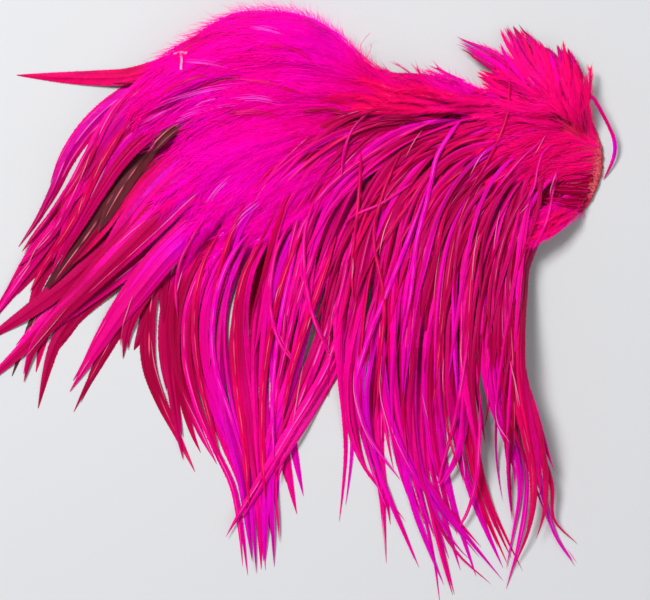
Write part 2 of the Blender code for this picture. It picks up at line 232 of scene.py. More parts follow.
def under_view(places, heights):
    """Where a point at this height lies, if the camera is to see it over the given place on the table."""
    return VIEW_CENTRE + (places - VIEW_CENTRE) * (1 - heights / CAMERA_HEIGHT)[:, None]


print("middle of the view:", VIEW_CENTRE.round(3), "m")

# %% [markdown]
# ## The drift of the dye
# The bath took unevenly, and whole patches of the cape lean to purple or to crimson. A patch has no edge,
# so each is a soft round spot, and where spots overlap they add up. The cast is kept with the points
# of the mesh, so that it stays with the cape when it is looked at from another side.

# %% Place the patches of dye
# Each patch is a place, how far it reaches, and its cast, from purple (-1) to crimson (1).
DRIFT = [
    (385, 88, 38, 1.5), (290, 28, 65, -0.8), (250, 160, 60, -0.5), (60, 320, 80, 0.9),
    (140, 360, 45, 0.6), (560, 60, 45, 0.65), (575, 160, 40, 0.2), (450, 84, 35, -0.5),
    (190, 230, 45, -0.4), (470, 560, 70, -0.5), (250, 520, 60, -0.6), (535, 330, 50, 0.55),
    (430, 190, 60, 0.5), (110, 120, 40, 0.1), (380, 112, 30, 1.0), (440, 300, 60, 0.5),
    (160, 330, 40, 0.7), (530, 90, 28, -0.8), (90, 250, 60, 0.65), (115, 175, 35, 0.4),
    (320, 45, 32, -0.6), (190, 100, 28, -0.9), (215, 178, 35, -0.5), (255, 72, 26, 0.9),
    (160, 122, 26, 0.5), (300, 128, 30, 0.9), (232, 128, 22, 0.8), (190, 62, 22, 0.35),
    (340, 140, 26, 0.3), (400, 490, 50, -0.3), (525, 545, 45, -0.5), (250, 330, 45, 0.35),
    (315, 250, 40, 0.5), (290, 420, 30, 0.2), (613, 150, 9, -3.0),
]


def cast_at(points):
    """The cast of the dye at each point."""
    cast = np.zeros(len(points))
    for x, y, reach, strength in DRIFT:
        away = np.sum((points[:, :2] - on_table((x, y))) ** 2, axis=1)
        cast += strength * np.exp(-away / (2 * (reach * PIXEL) ** 2))
    return cast


print("patches of dye:", len(DRIFT))

# %% [markdown]
# ## Collecting meshes
# A lock of feathers is thousands of small faces. Objects by the hundred would slow everything down, so
# each lock becomes one mesh. Beside its place, each point keeps five numbers for the materials: how far
# along the feather it is, how far across, a number of its own feather, how downy it is there, and the
# cast of the dye. Each strip also gets its own place on the texture map, so that a bake keeps the streaks.

# %% Collect strips into one mesh
BLADE_SHARE = 0.62
ROW_GAP, COLUMN_GAP, SIDE_GAP = 0.08, 0.05, 0.01
ROWS_PER_COLUMN = 6
MARKS = ("run", "reach", "tone", "fluff", "cast")


def columns(*parts):
    """Single numbers and rows of numbers, side by side as the columns of one table."""
    return np.column_stack(np.broadcast_arrays(*parts))


def inset(values, gap):
    """Values from 0 to 1, drawn in from both ends."""
    return gap + (1 - 2 * gap) * values


class Plumage:
    """Strips of faces, gathered into one mesh."""

    def __init__(self):
        self.points, self.quads, self.triangles, self.marks, self.map = [], [], [], [], []
        self.count, self.blades, self.barbs = 0, 0, 0

    def add(self, points, marks, places, quads=(), triangles=(), barbs=0):
        """points (n, 3), marks (n, 4) and places (n, 3): a strip's number and its place in that strip.
        They are one blade, or as many barbs as barbs says."""
        number = places[:, 0] + (self.barbs if barbs else self.blades)
        self.points.append(points)
        self.marks.append(marks)
        self.map.append(columns(number, places[:, 1], places[:, 2], float(barbs > 0)))
        self.quads.append(np.reshape(quads, (-1, 4)).astype(int) + self.count)
        self.triangles.append(np.reshape(triangles, (-1, 3)).astype(int) + self.count)
        self.count += len(points)
        self.barbs += barbs
        self.blades += 0 if barbs else 1

    def texture_places(self):
        """Blades lie in rows over most of the map, and barbs in a grid over the rest."""
        strip, u, v, is_barb = np.concatenate(self.map).T
        blade_part = 1.0 if not self.barbs else (BLADE_SHARE if self.blades else 0.0)
        blade_v = (strip + inset(v, ROW_GAP)) / max(self.blades, 1) * blade_part
        across = max(1, int(math.sqrt(max(self.barbs, 1) / ROWS_PER_COLUMN)))
        lines = max(1, math.ceil(self.barbs / across))
        barb_u = (strip % across + inset(u, COLUMN_GAP)) / across
        barb_v = blade_part + (strip // across + inset(v, ROW_GAP)) / lines * (1 - blade_part)
        return np.where(is_barb > 0, barb_u, inset(u, SIDE_GAP)), np.where(is_barb > 0, barb_v, blade_v)

    def build(self, name, material):
        points = np.concatenate(self.points)
        quads, triangles = np.concatenate(self.quads), np.concatenate(self.triangles)
        corners = np.concatenate([quads.reshape(-1), triangles.reshape(-1)]).astype(np.int32)
        sizes = np.concatenate([np.full(len(quads), 4), np.full(len(triangles), 3)])
        mesh = bpy.data.meshes.new(name)
        mesh.vertices.add(len(points))
        mesh.vertices.foreach_set("co", points.astype(np.float32).reshape(-1))
        mesh.loops.add(len(corners))
        mesh.loops.foreach_set("vertex_index", corners)
        mesh.polygons.add(len(sizes))
        mesh.polygons.foreach_set("loop_start", (np.cumsum(sizes) - sizes).astype(np.int32))
        mesh.update(calc_edges=True)
        marks = columns(*np.concatenate(self.marks).T, cast_at(points)).astype(np.float32)
        for column, title in enumerate(MARKS):
            layer = mesh.attributes.new(title, "FLOAT", "POINT")
            layer.data.foreach_set("value", np.ascontiguousarray(marks[:, column]))
        layer = mesh.uv_layers.new(name="OFBake")
        places = np.stack(self.texture_places(), axis=1)
        layer.uv.foreach_set("vector", places[corners].astype(np.float32).reshape(-1))
        mesh.shade_smooth()
        mesh.materials.append(material)
        piece = bpy.data.objects.new(name, mesh)
        bpy.context.scene.collection.objects.link(piece)
        return piece


print("numbers kept at each point:", MARKS)

# %% [markdown]
# ## One feather
# A feather is a shaft with a vane on each side. Seen from a step away the vane is a smooth blade that
# arches from the shaft. The blade is a lofted strip seven points wide, and the middle one stands up a
# little as the shaft. The strip could be a curve with a bevel, but then nothing would say at each point
# how far along and across the feather it is, and the materials need that.

# %% Make blades
ACROSS = np.array([-1.0, -0.6, -0.1, 0.0, 0.1, 0.6, 1.0])
DROOP_POWER = 1.7
SHAFT_RISE, SHAFT_THICKNESS = 0.10, 0.00008
BLADE_FLOOR, BARB_FLOOR = 0.00015, 0.0001


def sides_of(path, roll):
    """The direction across a feather at each point of its path, rolled about the path."""
    ahead = unit(np.gradient(path, axis=0))
    level = unit(np.stack([-ahead[:, 1], ahead[:, 0], np.zeros(len(path))], axis=1))
    above = np.cross(ahead, level)
    return level * np.cos(roll)[:, None] + above * np.sin(roll)[:, None], above, ahead


def run_along(path):
    """How far along a path each of its points lies."""
    return np.concatenate([[0], np.cumsum(np.linalg.norm(np.diff(path, axis=0), axis=1))])


def add_blade(plumage, path, half, roll, arch, tone, fluff_until=0.0):
    """A vane: path (n, 3), half width (n,), roll (n,), and how far its edges droop as a share of width."""
    side, above, ahead = sides_of(path, roll)
    count, width = len(path), len(ACROSS)
    droop = -arch * np.abs(ACROSS) ** DROOP_POWER
    points = path[:, None, :] + side[:, None, :] * (half[:, None, None] * ACROSS[None, :, None])
    points = points + above[:, None, :] * (half[:, None, None] * droop[None, :, None])
    ridge = np.where(ACROSS == 0, 1.0, 0.0)[None, :, None]
    points += above[:, None, :] * ridge * (SHAFT_RISE * half + SHAFT_THICKNESS)[:, None, None]
    points[:, :, 2] = np.maximum(points[:, :, 2], BLADE_FLOOR)
    run, share = run_along(path) / MM, np.linspace(0, 1, count)
    fluff = np.clip(1 - share / max(fluff_until, 1e-6), 0, 1)
    marks = columns(np.repeat(run, width), np.tile(ACROSS, count), tone, np.repeat(fluff, width))
    places = columns(0, np.repeat(share, width), np.tile((ACROSS + 1) / 2, count))
    corner = (np.arange(count - 1)[:, None] * width + np.arange(width - 1)[None, :]).reshape(-1, 1)
    plumage.add(points.reshape(-1, 3), marks, places, corner + [[0, 1, width + 1, width]])
    return points, side, above, ahead, run


print("a blade is", len(ACROSS), "points wide")

# %% [markdown]
# ## Barb tips, downy barbs and hairs
# The edge of a vane is a fine comb of barb tips: a row of slim triangles that point towards the tip of
# the feather. Downy barbs hang together by nothing, so they are narrow ribbons of their own, which leave
# the shaft on both sides and curve. A hair is one long barb. Particle hair would be quicker to lay, but
# it wouldn't be part of the mesh that is exported.

# %% Make fringes, downy barbs and hairs
TOOTH, TIP_OUT, TIP_FORWARD, TIP_DROP, TOOTH_FOOT = 0.75, 0.7, 1.1, 0.15, 0.25
BARB_STEPS = np.array([0.0, 0.35, 0.7, 1.0])
BARB_TAPER = np.array([1.0, 0.85, 0.5])
BARB_POINTS = 7


def at_run(where, run, values):
    """Rows that go with the points of a path, at other places along it."""
    return np.stack([np.interp(where, run, column) for column in values.T], axis=1)


def add_fringe(plumage, blade, reach, spacing, tone):
    """The comb of barb tips along both edges of a blade. reach and spacing are in metres."""
    points, side, above, ahead, run = blade
    teeth = max(4, int(run[-1] * MM / spacing))
    for edge, sign in ((0, -1.0), (len(ACROSS) - 1, 1.0)):
        at = (np.arange(teeth) + chance.uniform(0.1, 0.9, teeth)) / teeth * run[-1]
        after = np.minimum(at + spacing / MM * TOOTH, run[-1])
        near, far = at_run(at, run, points[:, edge]), at_run(after, run, points[:, edge])
        out, forward, lift = (at_run(at, run, values) for values in (side * sign, ahead, above))
        size = reach * chance.uniform(0.35, 1.0, teeth) * np.clip((1 - at / run[-1]) * 5, 0.06, 1)
        tips = far + out * (TIP_OUT * size)[:, None] + forward * (TIP_FORWARD * size)[:, None]
        tips -= lift * (TIP_DROP * size)[:, None]
        tips[:, 2] = np.maximum(tips[:, 2], BARB_FLOOR)
        corners = np.stack([near - out * (TOOTH_FOOT * reach), far, tips], axis=1).reshape(-1, 3)
        marks = columns(np.repeat(at, 3), np.tile([0.9 * sign, sign, 1.15 * sign], teeth), tone, 0.0)
        numbers = np.repeat(np.arange(teeth), 3)
        places = columns(numbers, np.tile([0.0, 0.6, 1.0], teeth), np.tile([0.0, 1.0, 0.5], teeth))
        plumage.add(corners, marks, places, triangles=np.arange(teeth * 3), barbs=teeth)


def add_barbs(plumage, path, start, stop, length, spacing, width, spread, tone,
              curl=0.4, highest=0.25, roll=0.0):
    """Downy barbs from start to stop along a shaft: ribbons that leave it on both sides and curve."""
    side, _, ahead = sides_of(path, roll + np.zeros(len(path)))
    run = run_along(path)
    count = max(2, int((stop - start) * run[-1] / spacing))
    at = np.linspace(start, stop, count) * run[-1] + chance.uniform(-0.5, 0.5, count) * spacing
    for sign in (-1.0, 1.0):
        tables = (path, ahead, side * sign, np.cross(ahead, side))
        foot, forward, out, lift = (at_run(at, run, values) for values in tables)
        angle = spread * chance.uniform(0.7, 1.25, count)
        reach = length * chance.uniform(0.6, 1.1, count)
        rise = chance.uniform(-0.4 * highest, highest, count)
        bend = curl * chance.uniform(0.2, 1.0, count)
        lines = []
        for step in BARB_STEPS:
            swing = angle * (1 - bend * step)
            way = forward * np.cos(swing)[:, None] + out * np.sin(swing)[:, None]
            hump = reach * rise * step * (1 - 0.6 * step)
            lines.append(foot + way * (reach * step)[:, None] + lift * hump[:, None])
        lines = np.stack(lines, axis=1)
        across = unit(np.cross(lines[:, 1] - lines[:, 0], lift))
        beside = across[:, None, :] * (BARB_TAPER * width / 2)[None, :, None]
        edges = np.stack([lines[:, :3] + beside, lines[:, :3] - beside], axis=2).reshape(count, -1, 3)
        points = np.concatenate([edges, lines[:, 3:]], axis=1)
        points[:, :, 2] = np.maximum(points[:, :, 2], BARB_FLOOR)
        first = np.arange(count)[:, None, None] * BARB_POINTS
        steps = np.tile(np.repeat(BARB_STEPS, 2)[:BARB_POINTS], count)
        own = np.repeat(tone + chance.uniform(-0.03, 0.03, count), BARB_POINTS)
        marks = columns(np.repeat(at / MM, BARB_POINTS), steps * sign, own, 1.0)
        numbers = np.repeat(np.arange(count), BARB_POINTS)
        places = columns(numbers, steps, np.tile([0.0, 1.0, 0.0, 1.0, 0.0, 1.0, 0.5], count))
        plumage.add(points.reshape(-1, 3), marks, places, first + [[0, 1, 3, 2], [2, 3, 5, 4]],
                    first + [[4, 5, 6]], count)


def add_hair(plumage, path, width, tone):
    """A single long barb: a ribbon two points wide that ends in a point."""
    side, _, _ = sides_of(path, np.zeros(len(path)))
    share = np.linspace(0, 1, len(path))
    half = (width / 2 * np.minimum(1, 0.4 + 3 * share) * (1 - 0.9 * share**3))[:, None]
    points = np.stack([path + side * half, path - side * half], axis=1).reshape(-1, 3)
    marks = columns(np.repeat(share * 20, 2), np.tile([1.0, -1.0], len(path)), tone, 1.0)
    places = columns(0, np.repeat(share, 2), np.tile([0.0, 1.0], len(path)))
    first = np.arange(len(path) - 1)[:, None] * 2
    plumage.add(points, marks, places, first + [[0, 1, 3, 2]], barbs=1)


print("a barb is a ribbon of", BARB_POINTS, "points")

# %% [markdown]
# ## Dye and barbs as node groups
# All the feathers were dyed in one bath, so their colours are alike, but each took the dye in its own
# way: some are hot pink, some crimson, some lean to purple. The barbs add fine slanting lines. These
# effects are needed on hackles, blades, down and brown feathers alike, so each is a node group with
# named inputs. The gloss is not shared: it stays in each material's own shader.

# %% Helpers for node groups
NUMBER, COLOUR = "NodeSocketFloat", "NodeSocketColor"
MIX_SHARE, MIX_FIRST, MIX_SECOND, MIX_RESULT = 0, 6, 7, 2


def make_group(name, inputs, outputs):
    """A node group with named sockets. Each input has its default, which is a number or a colour."""
    group = bpy.data.node_groups.new(name, "ShaderNodeTree")
    for title, default in inputs.items():
        kind = NUMBER if isinstance(default, float) else COLOUR
        socket = group.interface.new_socket(title, in_out="INPUT", socket_type=kind)
        socket.default_value = default
    for title, kind in outputs.items():
        group.interface.new_socket(title, in_out="OUTPUT", socket_type=kind)
    return group, group.nodes.new("NodeGroupInput").outputs, group.nodes.new("NodeGroupOutput").inputs


def put(tree, socket, value):
    """Sets a socket to a number, or links it to another socket."""
    if isinstance(value, bpy.types.NodeSocket):
        tree.links.new(value, socket)
    else:
        socket.default_value = value


def sum_up(tree, operation, *values):
    node = tree.nodes.new("ShaderNodeMath")
    node.operation = operation
    for socket, value in zip(node.inputs, values):
        put(tree, socket, value)
    return node.outputs[0]


def times(tree, first, second):
    return sum_up(tree, "MULTIPLY", first, second)


def one_minus(tree, value):
    return sum_up(tree, "SUBTRACT", 1.0, value)


def step_between(tree, value, low, high):
    """0 below low, 1 above high, and a soft step between them."""
    node = tree.nodes.new("ShaderNodeMapRange")
    node.interpolation_type = "SMOOTHSTEP"
    put(tree, node.inputs["Value"], value)
    put(tree, node.inputs["From Min"], low)
    put(tree, node.inputs["From Max"], high)
    return node.outputs["Result"]


def blend_colours(tree, share, first, second):
    node = tree.nodes.new("ShaderNodeMix")
    node.data_type = "RGBA"
    put(tree, node.inputs[MIX_SHARE], share)
    put(tree, node.inputs[MIX_FIRST], first)
    put(tree, node.inputs[MIX_SECOND], second)
    return node.outputs[MIX_RESULT]


def noise_at(tree, vector, scale, detail=2.0):
    node = tree.nodes.new("ShaderNodeTexNoise")
    node.inputs["Scale"].default_value = scale
    node.inputs["Detail"].default_value = detail
    put(tree, node.inputs["Vector"], vector)
    return node.outputs["Fac"]


def vector_of(tree, x, y, z):
    node = tree.nodes.new("ShaderNodeCombineXYZ")
    for socket, value in zip(node.inputs, (x, y, z)):
        put(tree, socket, value)
    return node.outputs[0]


def mark(tree, title):
    node = tree.nodes.new("ShaderNodeAttribute")
    node.attribute_name = title
    return node.outputs["Fac"]


def own_number(tree, tone, key):
    """A number from 0 to 1 that differs from feather to feather."""
    return sum_up(tree, "FRACT", times(tree, tone, key))


print("an input of a group is a number or a colour:", NUMBER, COLOUR)

# %% [markdown]
# ## Lines and clumps of barbs
# A barb leaves the shaft at a slant, so every place on the vane is first traced back to the foot of its
# barb. Noise along those feet gives the fine lines, and slower noise the clumps in which barbs hang
# together. A striped image would do the same, but it would repeat from feather to feather.

# %% Draw the lines of the barbs
SIDE_SEED, FEATHER_SEED = 3.0, 57.0
CLUMP_FINENESS, CLUMP_REACH = 0.22, 0.8
LINE_NOISE, LINE_DETAIL, CLUMP_NOISE = 1.6, 3.0, 1.0
LINE_STEP, CLUMP_STEP = (0.36, 0.62), (0.35, 0.65)


def barb_lines_group():
    """Fine lines that leave the shaft on both sides and lean towards the tip."""
    tree, given, made = make_group(
        "barb_lines", dict(Run=0.0, Reach=0.0, Tone=0.0, Rake=4.0, Fineness=1.2),
        dict(Lines=NUMBER, Clumps=NUMBER))
    away = sum_up(tree, "ABSOLUTE", given["Reach"])
    foot = sum_up(tree, "SUBTRACT", given["Run"], times(tree, away, given["Rake"]))
    side = times(tree, sum_up(tree, "SIGN", given["Reach"]), SIDE_SEED)
    seed = sum_up(tree, "MULTIPLY_ADD", given["Tone"], FEATHER_SEED, side)
    fine = vector_of(tree, times(tree, foot, given["Fineness"]), seed, away)
    coarse = vector_of(tree, times(tree, foot, CLUMP_FINENESS), seed, times(tree, away, CLUMP_REACH))
    lines = step_between(tree, noise_at(tree, fine, LINE_NOISE, LINE_DETAIL), *LINE_STEP)
    clumps = step_between(tree, noise_at(tree, coarse, CLUMP_NOISE), *CLUMP_STEP)
    tree.links.new(lines, made["Lines"])
    tree.links.new(clumps, made["Clumps"])
    return tree


BARB_LINES = barb_lines_group()
print("first group:", BARB_LINES.name)

# %% [markdown]
# ## How a feather took the dye, and the painted shade between its barbs
# The colour starts at the feather's bright dye. It goes towards the deep one by the feather's own number,
# by wide patches and by the cast of its place, and towards the cool one in the same way. Dark bands along
# the feather are deep again. The gaps between barbs and those between clumps are mixed towards the deep dye
# as painted shade. Each use of the feather's number has a key of its own, so that one does not follow
# another.

# %% Mix the dyes
DEPTH_KEY, COOL_KEY, GLINT_KEY, BAND_SEED = 7.13, 13.7, 5.31, 91.0
PATCH_NOISE, PATCH_STRENGTH, BAND_NOISE, BAND_FINENESS = 14.0, 1.2, 1.3, 0.03
CAST_TO_DEEP, CAST_TO_COOL, MOST_COOL = 0.45, -0.35, 0.85
BAND_SHADE, GAP_PAINTED_SHADE, CLUMP_PAINTED_SHADE = 0.55, 0.30, 0.22
DEEP_STEP, COOL_STEP, BAND_STEP = (0.30, 1.05), (0.60, 1.0), (0.42, 0.75)


def dye_and_shade_group():
    """The colour that a feather took from the bath, with painted shade in the gaps between barbs and clumps.
    """
    tree, given, made = make_group(
        "dye_and_gap_shade",
        dict(Bright=(1, 0, 0.3, 1), Deep=(0.6, 0, 0.1, 1), Cool=(0.8, 0, 0.6, 1), Run=0.0, Reach=0.0,
             Tone=0.0, Cast=0.0, Variety=0.9, Lines=0.5, Clumps=0.5),
        dict(Colour=COLOUR))
    where = tree.nodes.new("ShaderNodeTexCoord").outputs["Object"]
    patch = noise_at(tree, where, PATCH_NOISE, 1.0)
    patch = sum_up(tree, "MULTIPLY_ADD", patch, PATCH_STRENGTH, -PATCH_STRENGTH / 2)
    depth = sum_up(tree, "ADD", own_number(tree, given["Tone"], DEPTH_KEY), patch)
    depth = sum_up(tree, "MULTIPLY_ADD", given["Cast"], CAST_TO_DEEP, depth)
    deepened = times(tree, step_between(tree, depth, *DEEP_STEP), given["Variety"])
    colour = blend_colours(tree, deepened, given["Bright"], given["Deep"])
    cool = own_number(tree, given["Tone"], COOL_KEY)
    cool = sum_up(tree, "MULTIPLY_ADD", given["Cast"], CAST_TO_COOL, cool)
    cooled = times(tree, step_between(tree, cool, *COOL_STEP), MOST_COOL)
    colour = blend_colours(tree, cooled, colour, given["Cool"])
    length = vector_of(tree, times(tree, given["Run"], BAND_FINENESS), given["Reach"],
                       times(tree, given["Tone"], BAND_SEED))
    band = step_between(tree, noise_at(tree, length, BAND_NOISE), *BAND_STEP)
    # Painted shade: the gaps between barbs and between clumps are mixed towards the deep dye.
    gap, clump_parting_shade = one_minus(tree, given["Lines"]), one_minus(tree, given["Clumps"])
    for shade, strength in ((band, BAND_SHADE), (gap, GAP_PAINTED_SHADE), (clump_parting_shade, CLUMP_PAINTED_SHADE)):
        colour = blend_colours(tree, times(tree, shade, strength), colour, given["Deep"])
    tree.links.new(colour, made["Colour"])
    return tree


DYE_AND_GAP_SHADE = dye_and_shade_group()
print("second group:", DYE_AND_GAP_SHADE.name)

# %% [markdown]
# ## Where a bare shaft shows
# On some feathers the vane has parted and the pale shaft catches the light, in places only. The mask is a
# narrow band round the middle of the blade, on the share of feathers that the material asks for, broken up
# along the way. The shaft is also there as a ridge in the mesh, but a ridge alone keeps the vane's colour.

# %% Find the glinting shafts
BREAK_FINENESS, BREAK_STEP = 0.05, (0.42, 0.58)


def shaft_group():
    """Where the bare shaft shows as a pale line, which it does on some feathers and in places only."""
    tree, given, made = make_group(
        "shaft_glint", dict(Run=0.0, Reach=0.0, Tone=0.0, Width=0.12, Share=0.3), dict(Mask=NUMBER))
    away = sum_up(tree, "ABSOLUTE", given["Reach"])
    line = one_minus(tree, step_between(tree, away, times(tree, given["Width"], 0.5), given["Width"]))
    chosen = sum_up(tree, "LESS_THAN", own_number(tree, given["Tone"], GLINT_KEY), given["Share"])
    length = vector_of(tree, times(tree, given["Run"], BREAK_FINENESS), given["Tone"], 0.0)
    broken = step_between(tree, noise_at(tree, length, 1.0, 1.0), *BREAK_STEP)
    tree.links.new(times(tree, times(tree, line, chosen), broken), made["Mask"])
    return tree


SHAFT_GLINT = shaft_group()
print("node groups:", [group.name for group in bpy.data.node_groups])

# %% [markdown]
# ## The feather materials
# One function builds every feather material from the three groups, because the finishes differ only in
# their dyes, the slant of their barbs and their gloss. Colours are given as they look on a screen and
# turned to the linear values that a shader needs. Sheen stands for the soft light that stray barbules
# catch, and it is set on the shader itself. Gloss on a dyed barb comes back through the dye, so both the
# gloss and the sheen are tinted: white ones would wash the pink out.

# %% Build the feather materials
SHAFT_COVER, LINE_GLOSS, BARB_RELIEF = 0.8, 0.14, 0.0003
GLEAM, SOFT_GLEAM = (1.0, 0.08, 0.70, 1.0), (1.0, 0.02, 0.75, 1.0)


def dye(red, green, blue):
    """A colour seen on a screen, from 0 to 255, as the linear colour that a shader takes."""
    def linear(value):
        value /= 255
        return value / 12.92 if value <= 0.04045 else ((value + 0.055) / 1.055) ** 2.4
    return (linear(red), linear(green), linear(blue), 1.0)


def new_material(name):
    material = bpy.data.materials.new(name)
    material.use_nodes = True
    tree = material.node_tree
    return material, tree, tree.nodes["Principled BSDF"]


def use_group(tree, group, **values):
    node = tree.nodes.new("ShaderNodeGroup")
    node.node_tree = group
    for title, value in values.items():
        put(tree, node.inputs[title], value)
    return node.outputs


def add_relief(tree, shader, height, strength, distance):
    relief = tree.nodes.new("ShaderNodeBump")
    relief.inputs["Strength"].default_value = strength
    relief.inputs["Distance"].default_value = distance
    tree.links.new(height, relief.inputs["Height"])
    tree.links.new(relief.outputs["Normal"], shader.inputs["Normal"])


def feather_material(name, bright, deep, cool, shaft, rake=4.0, fineness=1.2, shafts=0.16,
                     shaft_width=0.14, gloss=0.40, sheen=0.15, bump=0.35, gleam=GLEAM, variety=0.9):
    material, tree, shader = new_material(name)
    own = dict(Run=mark(tree, "run"), Reach=mark(tree, "reach"), Tone=mark(tree, "tone"))
    barbs = use_group(tree, BARB_LINES, Rake=rake, Fineness=fineness, **own)
    dyed = use_group(tree, DYE_AND_GAP_SHADE, Bright=bright, Deep=deep, Cool=cool, Cast=mark(tree, "cast"),
                     Variety=variety, Lines=barbs["Lines"], Clumps=barbs["Clumps"], **own)
    glint = use_group(tree, SHAFT_GLINT, Width=shaft_width, Share=shafts, **own)
    # Where the shaft glints, its pale colour is mixed over the dye: a paler shaft, with a painted highlight
    # on it.
    shown = times(tree, glint["Mask"], SHAFT_COVER)
    colour = blend_colours(tree, shown, dyed["Colour"], shaft)
    tree.links.new(colour, shader.inputs["Base Color"])
    rough = sum_up(tree, "MULTIPLY_ADD", barbs["Lines"], -LINE_GLOSS, gloss + LINE_GLOSS)
    tree.links.new(rough, shader.inputs["Roughness"])
    add_relief(tree, shader, barbs["Lines"], bump, BARB_RELIEF)
    shader.inputs["Specular IOR Level"].default_value = 0.5
    shader.inputs["Specular Tint"].default_value = gleam
    shader.inputs["Sheen Weight"].default_value = sheen
    shader.inputs["Sheen Roughness"].default_value = 0.35
    shader.inputs["Sheen Tint"].default_value = gleam
    return material


PINK_DYE, DEEP_DYE, COOL_DYE = dye(252, 0, 152), dye(158, 0, 44), dye(226, 0, 200)
PALE_SHAFT, WARM_SHAFT = dye(255, 110, 190), dye(246, 96, 130)
MAGENTA, CRIMSON, PURPLE, BROWN = "magenta_feather", "crimson_feather", "purple_feather", "brown_feather"
DOWN, RED_DOWN, QUILL = "pink_down", "red_down", "bare_quill"
FEATHERS = {
    MAGENTA: feather_material("magenta_feather_vane", PINK_DYE, DEEP_DYE, COOL_DYE, PALE_SHAFT),
    CRIMSON: feather_material(
        "crimson_feather_vane", dye(228, 0, 90), dye(140, 0, 36), PINK_DYE, WARM_SHAFT, shafts=0.2),
    PURPLE: feather_material(
        "purple_feather_vane", dye(240, 0, 190), dye(206, 0, 100), dye(200, 0, 215), PALE_SHAFT),
    BROWN: feather_material(
        "brown_feather_vane", dye(98, 38, 44), dye(66, 12, 24), dye(108, 26, 50), dye(220, 110, 130),
        rake=9.0, fineness=0.8, shafts=1.0, shaft_width=0.11, gloss=0.55, gleam=(0.5, 0.25, 0.3, 1)),
    DOWN: feather_material(
        "pink_down_barbs", dye(254, 0, 178), dye(228, 0, 104), dye(240, 0, 216), PALE_SHAFT, rake=10.0,
        fineness=0.9, shafts=0.03, gloss=0.6, sheen=0.3, bump=0.2, gleam=SOFT_GLEAM, variety=0.85),
    RED_DOWN: feather_material(
        "red_down_barbs", dye(255, 0, 128), dye(228, 0, 74), dye(255, 0, 172), WARM_SHAFT,
        rake=8.0, fineness=0.9, shafts=0.05, gloss=0.6, sheen=0.3, bump=0.2, variety=0.8),
    QUILL: feather_material(
        QUILL, dye(226, 0, 84), dye(120, 0, 34), dye(236, 0, 120), dye(226, 70, 110),
        rake=0.0, fineness=0.5, shafts=0.3, gloss=0.35, bump=0.1),
    # Pale barbs whose colour is a painted sheen highlight.
    "painted_sheen_barbs": feather_material(
        "painted_sheen_barbs", dye(252, 70, 214), dye(244, 40, 176), dye(226, 90, 240), dye(255, 120, 220),
        shafts=0.0, gloss=0.55, gleam=SOFT_GLEAM),
    # Pale slivers whose colour is a painted highlight of bare shafts.
    "glinting_shaft": feather_material(
        "glinting_shaft", dye(255, 140, 206), dye(226, 120, 140), dye(240, 150, 255), dye(255, 190, 220),
        shafts=0.0, gloss=0.3, gleam=(1, 0.6, 0.9, 1)),
    "undyed_fluff": feather_material(
        "undyed_fluff", dye(255, 190, 226), dye(255, 120, 200), dye(255, 214, 236), dye(255, 220, 240),
        sheen=0.3),
}
print("feather materials:", sorted(FEATHERS))

# %% [markdown]
# ## What has been laid so far
# A feather laid last must rest on those below it, not float above them or cut through them. A grid of
# heights records the top of everything laid so far, much as a hand feels the pile before laying a strand.

# %% Keep a grid of heights
GRID_MARGIN, GRID_CELL = 0.02, 0.001
FILL_STEPS = 6
LOW, HIGH = np.array(CAD_BOX[0][:2]) - GRID_MARGIN, np.array(CAD_BOX[1][:2]) + GRID_MARGIN


class Relief:
    """The height of the pile on a square grid."""

    def __init__(self):
        self.heights = np.zeros(np.ceil((HIGH - LOW) / GRID_CELL).astype(int))

    def index(self, places):
        at = ((np.asarray(places)[..., :2] - LOW) / GRID_CELL).astype(int)
        return np.moveaxis(np.clip(at, 0, np.array(self.heights.shape) - 1), -1, 0)

    def note(self, points):
        """points (rows, across, 3), filled in between the rows."""
        for t in np.linspace(0, 1, FILL_STEPS, endpoint=False):
            between = points[:-1] * (1 - t) + points[1:] * t
            np.maximum.at(self.heights, tuple(self.index(between)), between[..., 2])

    def top(self, places, around=1):
        x, y = self.index(places)
        best = np.zeros(x.shape)
        for dx in range(-around, around + 1):
            for dy in range(-around, around + 1):
                nx = np.clip(x + dx, 0, self.heights.shape[0] - 1)
                ny = np.clip(y + dy, 0, self.heights.shape[1] - 1)
                best = np.maximum(best, self.heights[nx, ny])
        return best


pile = Relief()


def eased(values, rounds, lift):
    """Values smoothed along a line, with each end kept, and never far under where they started."""
    values = np.array(values, float)
    floor = values - lift
    for _ in range(rounds):
        values[1:-1] = (values[:-2] + 2 * values[1:-1] + values[2:]) / 4
        values = np.maximum(values, floor)
    return values


print("pile grid:", pile.heights.shape)

# %% [markdown]
# ## The outline of a feather
# Every vane widens from its quill and runs out to a point. A hackle stays slender and even for most of
# its length, a spade narrows over its last third, and a soft body feather is widest near its root. One
# rule with a few numbers draws them all.

# %% Draw the outlines
def outline_like(quill, opening, taper, power, swell=0.0):
    """A rule for the half width along a feather, from its width at the quill to its point."""
    def width(share, widest):
        opened = widest * np.minimum(1, quill + opening * share) * (1 - swell + swell * share)
        return opened * (1 - taper * share**power)
    return width


hackle_width = outline_like(0.15, 6, 0.97, 9, 0.20)
spade_width = outline_like(0.15, 3, 0.97, 5.5, 0.15)
lance_width = outline_like(0.15, 3, 0.97, 4, 0.15)
soft_width = outline_like(0.4, 2, 0.96, 2.4)
mantle_width = outline_like(0.10, 3, 0.96, 2.2)
apron_width = outline_like(0.3, 2, 0.95, 2.4)
print("half way, a hackle of width 1 is", round(float(hackle_width(0.5, 1.0)), 2), "wide")

